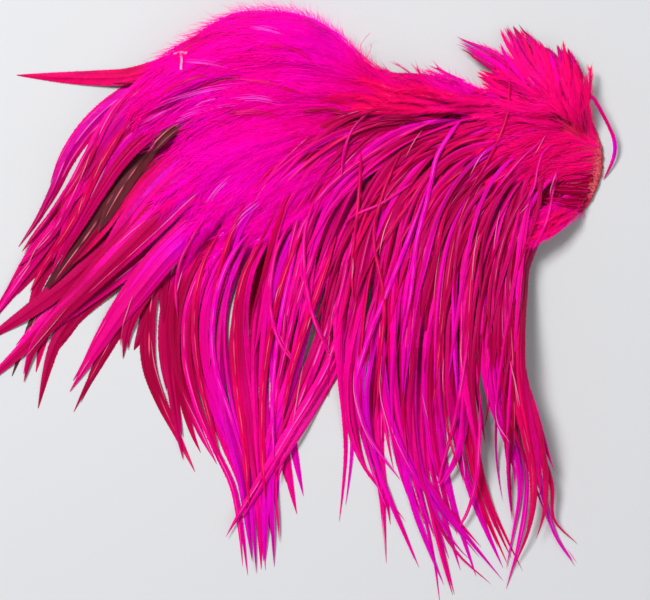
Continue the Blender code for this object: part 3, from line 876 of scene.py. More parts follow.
# %% [markdown]
# ## A feather inside its lock
# A lock of hackles is not one ribbon: it is half a dozen slender feathers that wander a little, cross at
# small angles, roll about their shafts, and end a few millimetres apart. Each gets its own place across
# the lock, its own height in it, its own roll and its own length. Where the solid narrows to its tip,
# the feathers keep some of their spread, so that the lock ends in several points.

# %% Lay a feather in a lock
STATIONS = 44
OWN = np.linspace(0, 1, STATIONS)
LOWEST_IN_LOCK, LOCK_FILL, EDGE_SINK = 0.10, 0.85, 0.45
TABLE_GAP = 0.0004


def waves(count, size, turns):
    """A slow wandering line of the given size."""
    share = np.linspace(0, 1, count)
    return size * np.sin(2 * math.pi * (turns * share + chance.uniform()))


def path_in_lock(lock, share, offset, height, least_spread):
    """The line of one feather: its offset runs from -1 to 1 across the lock, and its height from 0 to 1."""
    middle, half, lean, base, thick = lock.at(share)
    width = np.linalg.norm(half, axis=1)
    across = half / width[:, None]
    spread = np.maximum(width, least_spread * lock.widest)
    place = middle + across * (offset * spread)[:, None]
    fill = LOWEST_IN_LOCK + LOCK_FILL * height * (1 - EDGE_SINK * offset**2)
    level = np.maximum(base + lean * offset + thick * fill, TABLE_GAP)
    return np.column_stack([under_view(place, level), level]), np.arctan2(lean, width)


def add_feather(plumage, name, share, offset, height, half, roll, arch, least_spread, fringe, spacing,
                fluff=0.0):
    """One feather in the lock called name, with its comb of barb tips."""
    path, tilt = path_in_lock(locks[name], share, np.clip(offset, -1.1, 1.1), height, least_spread)
    tone = chance.uniform()
    blade = add_blade(plumage, path, half, tilt + roll, arch, tone, fluff)
    add_fringe(plumage, blade, fringe, spacing, tone)
    pile.note(blade[0])


print("a long feather has", STATIONS, "stations")

# %% [markdown]
# ## Bundles and single blades
# The saddle's locks are bundles of even feathers. A spade's lock is one wide blade with narrower ones
# that show from under it on both sides, because on the cape the top one hides most of the rest.

# %% Fill a lock with feathers
HACKLE_ARCH, BROAD_ARCH = 0.34, 0.2
HACKLE_FRINGE, HACKLE_COMB, UNDER_COMB, TOP_COMB = 0.0006, 0.0022, 0.0020, 0.0018


def slender_lock(name, number, half_width, wander, least_spread, shortest=0.74, rolling=0.30):
    """Several slender feathers that share a lock, and wander over each other."""
    plumage = Plumage()
    places = np.linspace(-0.75, 0.75, number)
    order = np.argsort(-np.abs(places) + chance.uniform(-0.6, 0.6, number))
    for layer, which in enumerate(order):
        stop = 1.0 if layer == number - 1 else chance.uniform(shortest, 1.0)
        share = np.linspace(chance.uniform(0, 0.14), stop, STATIONS)
        wandering = waves(STATIONS, wander * chance.uniform(0.4, 1.3), chance.uniform(0.4, 1.3))
        roll = chance.normal(0, rolling) + waves(STATIONS, rolling, chance.uniform(0.5, 1.8))
        half = hackle_width(OWN, half_width * chance.uniform(0.65, 1.25))
        add_feather(plumage, name, share, places[which] + wandering, (layer + 0.5) / number, half, roll,
                    HACKLE_ARCH, least_spread, HACKLE_FRINGE, HACKLE_COMB)
    return plumage


def broad_lock(name, under, shape, fringe=0.0008, fluff=0.0, roll=0.14, top=(0.56, 0.70),
               stops=(0.80, 0.985), aside=0):
    """One broad feather on top, and narrower ones that show from under it on both sides."""
    lock, plumage = locks[name], Plumage()
    for layer in range(under):
        side = 1 if layer % 2 else -1
        share = np.linspace(chance.uniform(0, 0.1), chance.uniform(*stops), STATIONS)
        offset = side * chance.uniform(0.25, 0.75) + waves(STATIONS, 0.20, chance.uniform(0.4, 0.9))
        half = shape(OWN, lock.widest * chance.uniform(0.30, 0.46))
        turned = chance.normal(0, roll) + waves(STATIONS, roll, 0.8)
        add_feather(plumage, name, share, offset, (layer + 0.5) / (under + 2), half, turned, BROAD_ARCH,
                    0.45, fringe, UNDER_COMB, fluff)
    half = shape(OWN, lock.widest * chance.uniform(*top))
    offset = aside + waves(STATIONS, 0.14, 0.7)
    turned = chance.normal(0, roll) + waves(STATIONS, roll, 0.8)
    add_feather(plumage, name, OWN, offset, 0.95, half, turned, BROAD_ARCH, 0.3, fringe, TOP_COMB, fluff)
    return plumage


print("comb of a hackle:", HACKLE_COMB / MM, "mm apart")

# %% [markdown]
# ## A strand on the pile
# The feathers that belong to no lock lie on whatever is below. Their route is seen from above, and their
# height follows the pile, smoothed as far as a springy shaft would bridge the dips.

# %% Lay a strand on the pile, and finish pieces
SINK_SHARE, STRAND_ARCH, STRAND_FRINGE, STRAND_COMB = 0.10, 0.32, 0.0005, 0.0024
VIEW_ROUNDS, VIEW_GIVE, STRAND_ROUNDS, STRAND_LOWEST = 40, 0.05, 14, 0.0005


def over_pile(line, lift, rounds, give=0.0012):
    """A smooth path on the pile, which the camera sees over this line on the table."""
    line = under_view(line, eased(pile.top(line, 2), VIEW_ROUNDS, VIEW_GIVE))
    return np.column_stack([line, eased(pile.top(line) + lift, rounds, give)])


def lay_strand(plumage, line, half, lift=0.0004, roll=0.30, sunk=0.002, tone=None, shape=hackle_width):
    """A hackle on the pile, along a line of any number of points on the table under the view."""
    path = over_pile(smooth_between(line, OWN), lift, STRAND_ROUNDS)
    sink = sunk * np.clip(1 - OWN / SINK_SHARE, 0, 1)
    path[:, 2] = np.maximum(path[:, 2] - sink, STRAND_LOWEST)
    tone = chance.uniform() if tone is None else tone
    turned = chance.normal(0, roll) + waves(STATIONS, roll, chance.uniform(0.6, 1.8))
    blade = add_blade(plumage, path, shape(OWN, half), turned, STRAND_ARCH, tone)
    add_fringe(plumage, blade, STRAND_FRINGE, STRAND_COMB, tone)
    pile.note(blade[0])


def finish_piece(plumage, name, kind):
    """Puts a heap of feathers in the scene as one piece of one kind."""
    piece = plumage.build(name, FEATHERS[kind])
    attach(piece, "root")
    return piece


def finish_all(title, heaps):
    """One piece for each kind of feather in the heaps."""
    for kind, plumage in heaps.items():
        finish_piece(plumage, title + kind, kind)


def dress(name, plumage, title=None, kind=None):
    """Puts a lock's feathers in the scene in place of its solid, in the solid's dye or another."""
    kind = kind or frame["nodes"][name].data.materials[0].name.split(".")[0]
    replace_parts(finish_piece(plumage, title or name + "_feathers", kind), name)


print("a strand sinks into the pile over its first", round(100 * SINK_SHARE), "percent")

# %% [markdown]
# ## Dark feathers underneath
# Where the long feathers part, darker ones show between them: brown and crimson feathers of the rows
# below. They are laid first, so that all else rests on them.

# %% Dark feathers at the bottom
# Each is a dye, a width in millimetres and a route. They show only where those above them part.
UNDER_FEATHERS = [
    (BROWN, 9.0, [(150, 150), (118, 188), (92, 224), (70, 257), (50, 290), (32, 326), (12, 376)]),
    (CRIMSON, 9.0, [(150, 165), (112, 215), (84, 256), (62, 292), (46, 330), (36, 372)]),
    (CRIMSON, 9.5, [(140, 128), (104, 172), (78, 212), (58, 246), (40, 282), (26, 320)]),
    (CRIMSON, 8.0, [(270, 180), (236, 240), (210, 285), (196, 325), (190, 380), (196, 420)]),
    (CRIMSON, 9.0, [(310, 190), (278, 240), (262, 290), (256, 345), (252, 400), (250, 450)]),
    (CRIMSON, 9.0, [(340, 190), (308, 245), (294, 300), (286, 350), (276, 400), (268, 440)]),
    (CRIMSON, 11.0, [(505, 102), (470, 98), (430, 93), (400, 88), (372, 78)]),
    (CRIMSON, 9.0, [(500, 98), (470, 90), (440, 83), (415, 80), (396, 78), (376, 70)]),
    (CRIMSON, 8.0, [(170, 180), (140, 225), (112, 262), (88, 300), (66, 334), (46, 362)]),
    (CRIMSON, 8.0, [(190, 200), (165, 250), (150, 300), (142, 332), (134, 350)]),
    (CRIMSON, 7.0, [(238, 190), (205, 240), (192, 290), (196, 340), (208, 385)]),
    (CRIMSON, 7.0, [(330, 180), (300, 240), (282, 300), (270, 350), (262, 400)]),
    (CRIMSON, 7.0, [(360, 180), (332, 235), (312, 285), (296, 335), (282, 380)]),
]


def heaps_of(*kinds):
    return {kind: Plumage() for kind in kinds}


under = heaps_of(BROWN, CRIMSON)
for kind, width, route in UNDER_FEATHERS:
    lay_strand(under[kind], on_table(route), width / 2 * MM, roll=0.05, sunk=0.0, shape=spade_width)
finish_all("under_", under)
print("dark feathers underneath:", len(UNDER_FEATHERS))

# %% [markdown]
# ## Three kinds of long feather
# Saddle and flank hackles are slender, and several share each lock, as they do in the middle of the cape.
# The spades of the far side are broader, and one feather lies on top of each lock and hides most of those
# under it. So the first kinds are laid as loose bundles, and the spades as one wide blade over narrower
# ones. One dark spade took hardly any dye, and shows between crimson neighbours. The outermost spade
# points straight to the left, alone.

# %% Flank and saddle hackles, and the broad spades
LONG_LOCKS = [name for name in locks if name.startswith(("flank", "saddle", "spade"))]
DARK_SPADE, OUTER_SPADE, DARK_FLANK = "spade_06", "spade_14", "flank_hackle_01"


def dress_long_lock(name):
    widest = locks[name].widest
    if name == DARK_SPADE:
        dress(name, broad_lock(name, 5, hackle_width, top=(0.1, 0.12)), "dark_spade_neighbours",
              CRIMSON)
        dress(name, broad_lock(name, 0, spade_width, roll=0.05, top=(0.80, 0.82), aside=-0.3))
    elif name == OUTER_SPADE:
        dress(name, broad_lock(name, 2, lance_width, top=(1.0, 1.05), stops=(0.6, 0.7)))
    elif name == DARK_FLANK:
        dress(name, broad_lock(name, 2, spade_width, top=(0.86, 0.90)))
    elif name.startswith("flank"):
        number = max(3, round(1.5 * widest / 0.0026))
        dress(name, slender_lock(name, number, 0.0029, wander=0.50, least_spread=0.65, shortest=0.80,
                                 rolling=0.22))
    elif name.startswith("saddle"):
        number = max(4, round(1.9 * widest / 0.0020))
        dress(name, slender_lock(name, number, 0.0021, wander=0.55, least_spread=0.80, shortest=0.70))
    else:
        dress(name, broad_lock(name, 5, spade_width, fringe=0.0010, fluff=0.12))


for name in LONG_LOCKS:
    dress_long_lock(name)
print("long locks dressed:", len(LONG_LOCKS))

# %% [markdown]
# ## Down and soft body feathers
# Over the top left of the cape the feathers are short, wide and soft, and their lower halves are down.
# Down has no flat vane: its barbs part from the shaft and wave about. Here each soft feather has a small
# blade under a spray of slim curved barbs, so that the surface is smooth from a step away and fuzzy
# against the table.

# %% Lay soft feathers along the down locks
SHORT_STATIONS, SLIM_BARB, SOFT_ARCH = 22, 0.00024, 0.30
SHORT = np.linspace(0, 1, SHORT_STATIONS)
HUMP, HUMP_ALONG = 0.0012, np.linspace(0.2, math.pi, SHORT_STATIONS)


def soft_feather(plumage, path, half, roll, tone, barb_length, spacing):
    blade = add_blade(plumage, path, half, roll, SOFT_ARCH, tone, fluff_until=1.0)
    lifted = path + np.array([0, 0, 0.0003])
    add_barbs(plumage, lifted, 0.04, 0.94, barb_length, spacing, SLIM_BARB, spread=0.50, tone=tone,
              roll=roll)
    pile.note(blade[0])


def soft_lock(name, number, length, half_width, barb_length, spacing, outermost):
    """A few plain feathers inside, under short ones laid from the tip back to the root, like tiles."""
    lock, plumage = locks[name], Plumage()
    for height in (0.05, 0.25, 0.45):
        for offset in np.linspace(0.6 * outermost + 0.1, 0.7, 3):
            path, tilt = path_in_lock(lock, OWN, offset, height, 0.45)
            half = spade_width(OWN, 0.3 * lock.widest)
            add_blade(plumage, path, half, tilt, SOFT_ARCH, (height + offset) % 1, fluff_until=1.0)
    reach = length / lock.length
    for start in np.linspace(1 - reach, -0.02, number):
        offset = chance.uniform(outermost, 0.8)
        begin = max(start + chance.uniform(-0.02, 0.02), 0)
        share = np.linspace(begin, min(start + reach, 1.0), SHORT_STATIONS)
        height = 0.35 + 0.6 * (1 - max(start, 0))
        across = np.clip(offset + SHORT * chance.uniform(-0.35, 0.35), outermost - 0.1, 1.0)
        path, tilt = path_in_lock(lock, share, across, height, 0.45)
        path[:, 2] += HUMP * np.sin(HUMP_ALONG)
        half = soft_width(SHORT, half_width * chance.uniform(0.75, 1.15))
        soft_feather(plumage, path, half, tilt + chance.normal(0, 0.12, 1), chance.uniform(), barb_length,
                     spacing)
    return plumage


TAIL_LOCKS = {"down_tail_1": 18, "down_tail_2": 20, "down_tail_3": 20, "down_tail_4": 20, "down_tail_5": 26}
EDGE_LOCKS = {"down_ridge": -0.1, "down_corner": -0.75}
for name, number in TAIL_LOCKS.items():
    outermost = 0.2 if name == "down_tail_5" else -0.75
    dress(name, soft_lock(name, number, length=0.062, half_width=0.0058, barb_length=0.0115,
                          spacing=0.0010, outermost=outermost))
for name, outermost in EDGE_LOCKS.items():
    dress(name, soft_lock(name, 20, length=0.026, half_width=0.0026, barb_length=0.0075,
                          spacing=0.0008, outermost=outermost))
print("soft locks dressed:", len(TAIL_LOCKS) + len(EDGE_LOCKS))

# %% [markdown]
# ## The neck tuft and the stray hackle
# At the top right the shortest, reddest feathers of the neck stand in a tuft and end in a ragged row of
# points. One hackle has come away at its tip and curls round the end of the hide.

# %% Lay the neck feathers and the stray hackle
NECK_STATIONS, NECK_FEATHERS = 24, 17
NECK = np.linspace(0, 1, NECK_STATIONS)
FINE_BARB = 0.00022


def neck_lock(name, number):
    lock, plumage = locks[name], Plumage()
    for layer in range(number):
        start = 0.62 * (1 - layer / number) * chance.uniform(0.7, 1.0)
        stop = chance.uniform(0.72, 1.0) if layer < number - 2 else 1.0
        share = np.linspace(start, max(stop, start + 0.3), NECK_STATIONS)
        offset = np.clip(chance.uniform(-0.9, 0.9) + waves(NECK_STATIONS, 0.15, 0.6), -1, 1)
        path, tilt = path_in_lock(lock, np.minimum(share, 1), offset, (layer + 0.5) / number, 0.55)
        width = spade_width(NECK, 0.0023 * chance.uniform(0.7, 1.2)) * (1 - 0.35 * NECK)
        tone = chance.uniform()
        blade = add_blade(plumage, path, width, tilt + chance.normal(0, 0.3), SOFT_ARCH, tone, 0.3)
        add_fringe(plumage, blade, reach=0.0014, spacing=0.0010, tone=tone)
        add_barbs(plumage, path, 0.02, 0.78, length=0.0062, spacing=0.0008, width=FINE_BARB,
                  spread=0.45, tone=tone)
        pile.note(blade[0])
    return plumage


for name in locks:
    if name.startswith("neck"):
        dress(name, neck_lock(name, NECK_FEATHERS))
stray = Plumage()
add_feather(stray, "loose_hackle", OWN, 0 * OWN, 0.5, hackle_width(OWN, 0.0013),
            waves(STATIONS, 0.5, 1.2), arch=0.3, least_spread=0.5, fringe=0.0004, spacing=0.002)
dress("loose_hackle", stray, "stray_hackle", PURPLE)
print("neck and stray hackles dressed")

# %% [markdown]
# ## The hide
# Under the feathers is the rooster's own skin, dried and dyed with them. Its cut end shows at the right:
# a crust of tan and red, rows of quill stubs, and wrinkles where it shrank. The solid of the frame is
# copied, made into an even mesh, and then its points are pushed by noise, because wrinkles that only a
# bump map draws would vanish at the cut edge.

# %% Skin with wrinkles and a crusty rim
VOXEL = 0.0011
WRINKLE, PIMPLE, CRUST = 0.35, 0.7, 0.8
WRINKLE_X, WRINKLE_Y, PIMPLE_FINENESS, PIMPLE_FROM, CRUST_FINENESS = 0.10, 0.30, 0.75, 0.1, 0.55
RIM_START, RIM_WIDE = 84, 6
hide_low, hide_high = (np.array(corner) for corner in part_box("hide"))


def even_skin():
    """A copy of the hide's solid, as a mesh of small even faces."""
    skin = bpy.data.objects.new("hide_skin", frame["nodes"]["hide"].data.copy())
    bpy.context.scene.collection.objects.link(skin)
    work = bmesh.new()
    work.from_mesh(skin.data)
    bmesh.ops.remove_doubles(work, verts=work.verts, dist=1e-6)
    work.to_mesh(skin.data)
    work.free()
    remesh = skin.modifiers.new("even", "REMESH")
    remesh.mode, remesh.voxel_size, remesh.use_smooth_shade = "VOXEL", VOXEL, True
    smooth = skin.modifiers.new("soften", "SMOOTH")
    smooth.iterations, smooth.factor = 4, 0.5
    graph = bpy.context.evaluated_depsgraph_get()
    mesh = bpy.data.meshes.new_from_object(skin.evaluated_get(graph))
    skin.modifiers.clear()
    skin.data = mesh
    mesh.name = "hide_skin"
    return skin


def push_skin(skin):
    """Wrinkles, pimples and a crusty rim, on the top of the hide only. Noise is taken in millimetres."""
    for vertex in skin.data.vertices:
        place = vertex.co / MM
        wrinkle = noise.noise(Vector((place.x * WRINKLE_X, place.y * WRINKLE_Y, 0))) * WRINKLE
        pimple = max(0.0, noise.noise(place * PIMPLE_FINENESS) - PIMPLE_FROM) * PIMPLE
        rim = max(0.0, min(1.0, (place.x - RIM_START) / RIM_WIDE))
        crust = noise.noise(place * CRUST_FINENESS) * CRUST * rim
        push = (wrinkle + pimple + crust) * MM
        top = (vertex.co.z - hide_low[2]) / (hide_high[2] - hide_low[2])
        vertex.co += vertex.normal * push * min(1.0, max(top, 0.0) * 3)
        vertex.co.z = max(vertex.co.z, 0.0)


hide_skin = even_skin()
push_skin(hide_skin)
print("hide:", len(hide_skin.data.polygons), "faces")

# %% [markdown]
# ## The finish of the hide
# The dyed skin is blotched pink and dark red, and where it was cut it has dried to a paler crust. A line
# across the part, frayed by noise, decides between the two, so that the crust ends raggedly.

# %% Dye the hide
CRUST_LINE, CRUST_END, CRUST_SLANT, CRUST_FRAY = 0.0860, 0.0900, -0.12, 0.012


def skin_material():
    material, tree, shader = new_material("dyed_hide")
    where = tree.nodes.new("ShaderNodeTexCoord").outputs["Object"]
    parts = tree.nodes.new("ShaderNodeSeparateXYZ")
    tree.links.new(where, parts.inputs[0])
    blotch, fine = noise_at(tree, where, 90.0, 4.0), noise_at(tree, where, 900.0, 3.0)
    frayed = sum_up(tree, "MULTIPLY_ADD", blotch, CRUST_FRAY, -CRUST_FRAY / 2)
    edge = sum_up(tree, "ADD", parts.outputs[0], frayed)
    edge = sum_up(tree, "MULTIPLY_ADD", parts.outputs[1], CRUST_SLANT, edge)
    crust = step_between(tree, edge, CRUST_LINE, CRUST_END)
    skin = blend_colours(tree, step_between(tree, blotch, 0.35, 0.65), dye(200, 0, 74), dye(124, 0, 40))
    tan = blend_colours(tree, step_between(tree, fine, 0.35, 0.65), dye(196, 74, 82), dye(140, 16, 44))
    tree.links.new(blend_colours(tree, crust, skin, tan), shader.inputs["Base Color"])
    tree.links.new(sum_up(tree, "MULTIPLY_ADD", fine, 0.25, 0.55), shader.inputs["Roughness"])
    add_relief(tree, shader, sum_up(tree, "ADD", fine, blotch), 0.6, 0.0005)
    shader.inputs["Specular IOR Level"].default_value = 0.3
    return material


hide_skin.data.materials.clear()
hide_skin.data.materials.append(skin_material())
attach(hide_skin, "root")
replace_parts(hide_skin, "hide")
pile.note(np.tile(np.array([vertex.co[:] for vertex in hide_skin.data.vertices]), (2, 1, 1)))
print("mean height of the pile so far:", round(float(pile.heights[pile.heights > 0].mean()) / MM, 1), "mm")

# %% [markdown]
# ## The lie of the short feathers
# The locks leave their roots and the hide bare. On a real cape the rows of short feathers that grow
# further up hide them. A short feather starts at its root and follows the lie of its neighbours. The lie
# is drawn as a few dozen arrows, each a place and a heading, and between them the heading is blended by
# nearness. A direction for every feather would be hundreds of numbers, and neighbours would disagree.

# %% The lie of the short feathers
# Each row is a place, counted as above, and the heading there in degrees: 180 is left, 90 is up.
LIE = np.array([
    (400, 95, 172), (380, 80, 150), (352, 52, 140), (300, 22, 168), (240, 15, 194), (190, 50, 210),
    (150, 82, 217), (112, 130, 233), (350, 100, 176), (300, 80, 176), (250, 60, 188), (200, 92, 204),
    (160, 122, 217), (330, 130, 189), (280, 122, 192), (230, 142, 206), (190, 182, 222), (160, 222, 234),
    (300, 160, 210), (260, 190, 221), (222, 222, 229), (192, 262, 240), (340, 170, 221), (300, 222, 233),
    (480, 97, 178), (442, 86, 165), (418, 76, 150), (540, 112, 178), (562, 142, 190), (578, 160, 186),
    (560, 215, 210), (578, 200, 200), (545, 232, 216), (560, 88, 108), (562, 66, 96), (522, 70, 135),
    (492, 52, 150), (502, 82, 163), (582, 102, 93), (588, 122, 100), (500, 130, 195), (450, 130, 200),
    (400, 130, 205), (535, 160, 212), (480, 160, 222),
], float)
LIE_PLACES = on_table(LIE[:, :2])
LIE_WAYS = np.stack([np.cos(np.radians(LIE[:, 2])), np.sin(np.radians(LIE[:, 2]))], axis=1)
NEARNESS, NEAREST = 1.5, 1e-5


def heading(place):
    weight = 1 / (np.sum((LIE_PLACES - place) ** 2, axis=1) + NEAREST) ** NEARNESS
    way = weight @ LIE_WAYS
    return way / np.linalg.norm(way)


def lie_from(root, length, swing, steps=SHORT_STATIONS):
    """The line of a short feather from its root, which swings slowly away from the lie."""
    line = [np.array(root)]
    for step in range(steps - 1):
        way = heading(line[-1])
        turn = swing * (step / steps)
        way = np.array([way[0] * math.cos(turn) - way[1] * math.sin(turn),
                        way[0] * math.sin(turn) + way[1] * math.cos(turn)])
        line.append(line[-1] + way * length / (steps - 1))
    return np.array(line)


print("arrows of the lie:", len(LIE))

# %% [markdown]
# ## Resting on the pile
# A short feather rests on whatever is below, but its shaft is springy: over a sudden drop it falls no
# faster than the shaft bends, and it rolls with the slope of the pile beside it.

# %% Rest short feathers on the pile
STEEPEST_DROOP, SHORT_SINK, STEEPEST_ROLL = 0.35, 0.25, 0.9


def springy(line, heights):
    """Heights that fall no faster along a line than a springy shaft would let them."""
    heights = heights.copy()
    steps = np.linalg.norm(np.diff(line, axis=0), axis=1)
    for k, step in enumerate(steps):
        heights[k + 1] = max(heights[k + 1], heights[k] - STEEPEST_DROOP * step)
    return heights


def rest_on_pile(line, lift, sunk):
    """A path that rests on the pile over a line on the table under the view, with its root sunk in."""
    path = over_pile(line, lift, 12, 0.0016)
    sink = sunk * np.clip(1 - np.linspace(0, 1, len(line)) / SHORT_SINK, 0, 1)
    z = springy(path[:, :2], path[:, 2]) - sink
    return np.column_stack([path[:, :2], np.maximum(z, TABLE_GAP)])


def cross_slope(line, reach):
    """The angle at which the pile rises from the right of a line to its left."""
    left = left_of(line) * reach
    rise = over_pile(line + left, 0, 12)[:, 2] - over_pile(line - left, 0, 12)[:, 2]
    return np.clip(np.arctan2(rise, 2 * reach), -STEEPEST_ROLL, STEEPEST_ROLL)


print("a shaft falls at most", STEEPEST_DROOP, "of its way")

# %% [markdown]
# ## Mantles and silk
# A mantle is a patch of short feathers. Their roots are sown on a jittered grid inside an outline, because
# real ones grow in rows that are nearly even, and those furthest from the hide are laid first, as tiles
# are. Silk is the loose long barbs that lie over them.

# %% Sow roots and lay mantles and silk
JITTER, MANTLE_BARB, MANTLE_ARCH = 0.45, 0.00030, 0.28


def inside(place, outline):
    """Whether a place is inside an outline: a ray from it crosses the outline an odd number of times."""
    x, y = place
    found = False
    for (ax, ay), (bx, by) in zip(outline, np.roll(outline, 1, axis=0)):
        if (ay > y) != (by > y) and x < (bx - ax) * (y - ay) / (by - ay) + ax:
            found = not found
    return found


def roots_in(outline, gap):
    """Roots on a jittered grid inside an outline."""
    outline = on_table(outline)
    low, high = outline.min(axis=0), outline.max(axis=0)
    found = []
    for x in np.arange(low[0], high[0], gap):
        for y in np.arange(low[1], high[1], gap):
            place = np.array([x, y]) + chance.uniform(-JITTER, JITTER, 2) * gap
            if inside(place, outline):
                found.append(place)
    return found


def from_left(root):
    return root[0]


def from_top(root):
    return -root[1]


def lay_mantle(name, kind, outline, gap, length, half, barb_length, spacing, swing, first=from_left,
               sunk=0.0015):
    """Short feathers over an outline. first sorts their roots, and the lowest is laid first."""
    plumage = Plumage()
    for root in sorted(roots_in(outline, gap), key=first):
        line = lie_from(root, length * chance.uniform(0.75, 1.25), chance.uniform(-swing, swing))
        path = rest_on_pile(line, 0.0003, sunk)
        width = mantle_width(SHORT, half * chance.uniform(0.7, 1.2))
        roll, tone = cross_slope(line, half) + chance.normal(0, 0.08), chance.uniform()
        blade = add_blade(plumage, path, width, roll, MANTLE_ARCH, tone, fluff_until=1.0)
        lifted = path + np.array([0, 0, 0.0002])
        add_barbs(plumage, lifted, 0.03, 0.92, barb_length, spacing, MANTLE_BARB, spread=0.42,
                  tone=tone, highest=0.10, roll=roll)
        pile.note(blade[0])
    finish_piece(plumage, name, kind)


def lay_silk(name, kind, outline, gap, length, width, swing):
    """Loose long barbs over an outline, which follow the lie and rest on the feathers."""
    plumage = Plumage()
    for root in roots_in(outline, gap):
        line = lie_from(root, length * chance.uniform(0.5, 1.3), chance.uniform(-swing, swing), 9)
        path = rest_on_pile(line, 0.0004, 0.0006)
        add_hair(plumage, path, width * chance.uniform(0.6, 1.4), chance.uniform())
    finish_piece(plumage, name, kind)


print("roots are sown within", JITTER, "of a step from their grid")

# %% [markdown]
# ## The rounded edges
# Along the top of the tail, the ridge and the lower corner the pile rounds down to the table. Mantles
# would stop at the brink, so soft feathers are also laid on the slope, from the table upwards. Each
# runs along the edge, at a depth of its own on a quarter of a round.

# %% Lay aprons of soft feathers on the slopes
# The outline of the soft parts as the camera sees it, from the roots to the tips of their feathers.
TAIL_EDGE = [(402, 88), (378, 75), (358, 57), (338, 37), (318, 22), (296, 14), (268, 11), (238, 14),
             (214, 25), (192, 40), (172, 53), (152, 69)]
RIDGE_EDGE = [(500, 97), (484, 93), (462, 84), (444, 77), (424, 76), (404, 83)]
CORNER_EDGE = [(584, 212), (570, 221), (558, 230), (544, 239), (530, 245)]
EDGE_STATIONS, APRON_COMB, STEEPEST_APRON = 120, 0.0011, 1.25


def lay_apron(name, edge, inset_by, number, length, half, barb_length):
    """Soft feathers over the rounded slope at the edge of the pile, laid from the table upwards."""
    plumage = Plumage()
    share = np.linspace(0, 1, EDGE_STATIONS)
    rim = route_line(edge, EDGE_STATIONS)
    inward = left_of(rim)
    crest = over_pile(rim + 1.2 * inset_by * inward, 0, 40, 0.05)[:, 2]
    for deep in 1.5 * np.sort(chance.uniform(0, 1, number)) ** 1.3:
        begin = chance.uniform(0, 1 - 0.6 * length)
        at = np.linspace(begin, min(begin + length * chance.uniform(0.8, 1.1), 1), SHORT_STATIONS)
        rows = np.stack([np.interp(at, share, values) for values in (*rim.T, *inward.T, crest)], axis=1)
        depth = deep * (1 - 0.3 * SHORT)
        out = np.clip(1 - depth, 0, 0.999)
        rise = np.sqrt(1 - out**2)
        heights = rows[:, 4] * rise + TABLE_GAP
        line = rows[:, :2] + rows[:, 2:4] * (inset_by * depth)[:, None]
        path = np.column_stack([under_view(line, heights), heights])
        steep = np.minimum(np.arctan2(rows[:, 4] * out, inset_by * rise), STEEPEST_APRON)
        width = apron_width(SHORT, half * chance.uniform(0.75, 1.2))
        soft_feather(plumage, path, width, steep + chance.normal(0, 0.05), chance.uniform(), barb_length,
                     APRON_COMB)
    finish_piece(plumage, name, DOWN)


lay_apron("tail_apron", TAIL_EDGE, 0.015, number=120, length=0.30, half=0.0046, barb_length=0.0100)
lay_apron("ridge_apron", RIDGE_EDGE, 0.008, number=34, length=0.34, half=0.0024, barb_length=0.0070)
print("aprons laid along the tail and the ridge")

# %% [markdown]
# ## Mantles over the tail and the ridge
# Three patches of short feathers cover the roots of the locks, and silk runs over the largest two. Their
# sizes in the calls are the gap between roots, the length and half width of a feather, and the length
# and spacing of its barbs, all in metres, then how far a feather may swing from the lie.

# %% Cover the tail and the ridge
TAIL_MANTLE = [(210, 42), (245, 32), (300, 32), (338, 54), (370, 78), (410, 92), (470, 98), (455, 112),
               (400, 112), (330, 110), (280, 102), (235, 86), (205, 62)]
SADDLE_MANTLE = [(400, 116), (455, 118), (400, 142), (350, 165), (310, 192), (268, 205), (240, 185),
                 (242, 150), (300, 122)]
RIDGE_MANTLE = [(412, 80), (440, 76), (470, 80), (500, 92), (500, 104), (430, 98), (404, 92)]
TAIL_SILK = [(150, 74), (185, 40), (243, 14), (302, 14), (344, 38), (380, 68), (408, 84), (400, 140),
             (350, 165), (300, 200), (240, 190), (190, 150), (160, 110)]

lay_mantle("saddle_mantle", DOWN, SADDLE_MANTLE, 0.0095, 0.064, 0.0048, 0.0125, 0.0007,
           0.30)
lay_mantle("tail_mantle", DOWN, TAIL_MANTLE, 0.0098, 0.068, 0.0050, 0.0125, 0.0007, 0.30)
lay_silk("tail_silk", DOWN, TAIL_SILK, 0.0017, 0.024, 0.00028, 0.5)
lay_mantle("ridge_mantle", DOWN, RIDGE_MANTLE, 0.0060, 0.024, 0.0019, 0.0080, 0.0006, 0.5)
print("mantle and silk laid over the tail and the ridge")

# %% [markdown]
# ## Quills at the cut end
# Where the skin was cut, rows of bare quills run side by side over dark gaps. Each is a narrow blade with
# a high arch. At this size it looks as round as a tube, and it carries the same marks for its material
# as every other feather.

# %% Lay the rows of quills
QUILL_ROWS, QUILL_STATIONS = 30, 18
QUILL_TOP, QUILL_RIGHT, QUILL_LEFT = 174, 591, (522, 566)
CUT_BEND, RIGHT_SPAN, LEFT_SPAN = 12, 36, 34
RIGHT_PART, LEFT_PART = 0.55, 0.45
quills = Plumage()
for row in np.linspace(0, 1, QUILL_ROWS):
    right = np.array([QUILL_RIGHT - CUT_BEND * row**2 + chance.uniform(-4, 3), QUILL_TOP + RIGHT_SPAN * row])
    left = np.array([chance.uniform(*QUILL_LEFT), QUILL_TOP + LEFT_SPAN * row + chance.uniform(-5, 5)])
    between = right * RIGHT_PART + left * LEFT_PART + [0, chance.uniform(-3, 3)]
    dense = route_line([right, between, left], QUILL_STATIONS)
    path = rest_on_pile(dense, chance.uniform(0.0001, 0.0014), 0.0)
    slim = chance.uniform(0.0004, 0.0009) * (1 - 0.7 * np.linspace(0, 1, QUILL_STATIONS))
    add_blade(quills, path, slim, np.zeros(QUILL_STATIONS), 0.9, chance.uniform())
finish_piece(quills, "quill_row", QUILL)
print("quills:", quills.blades)

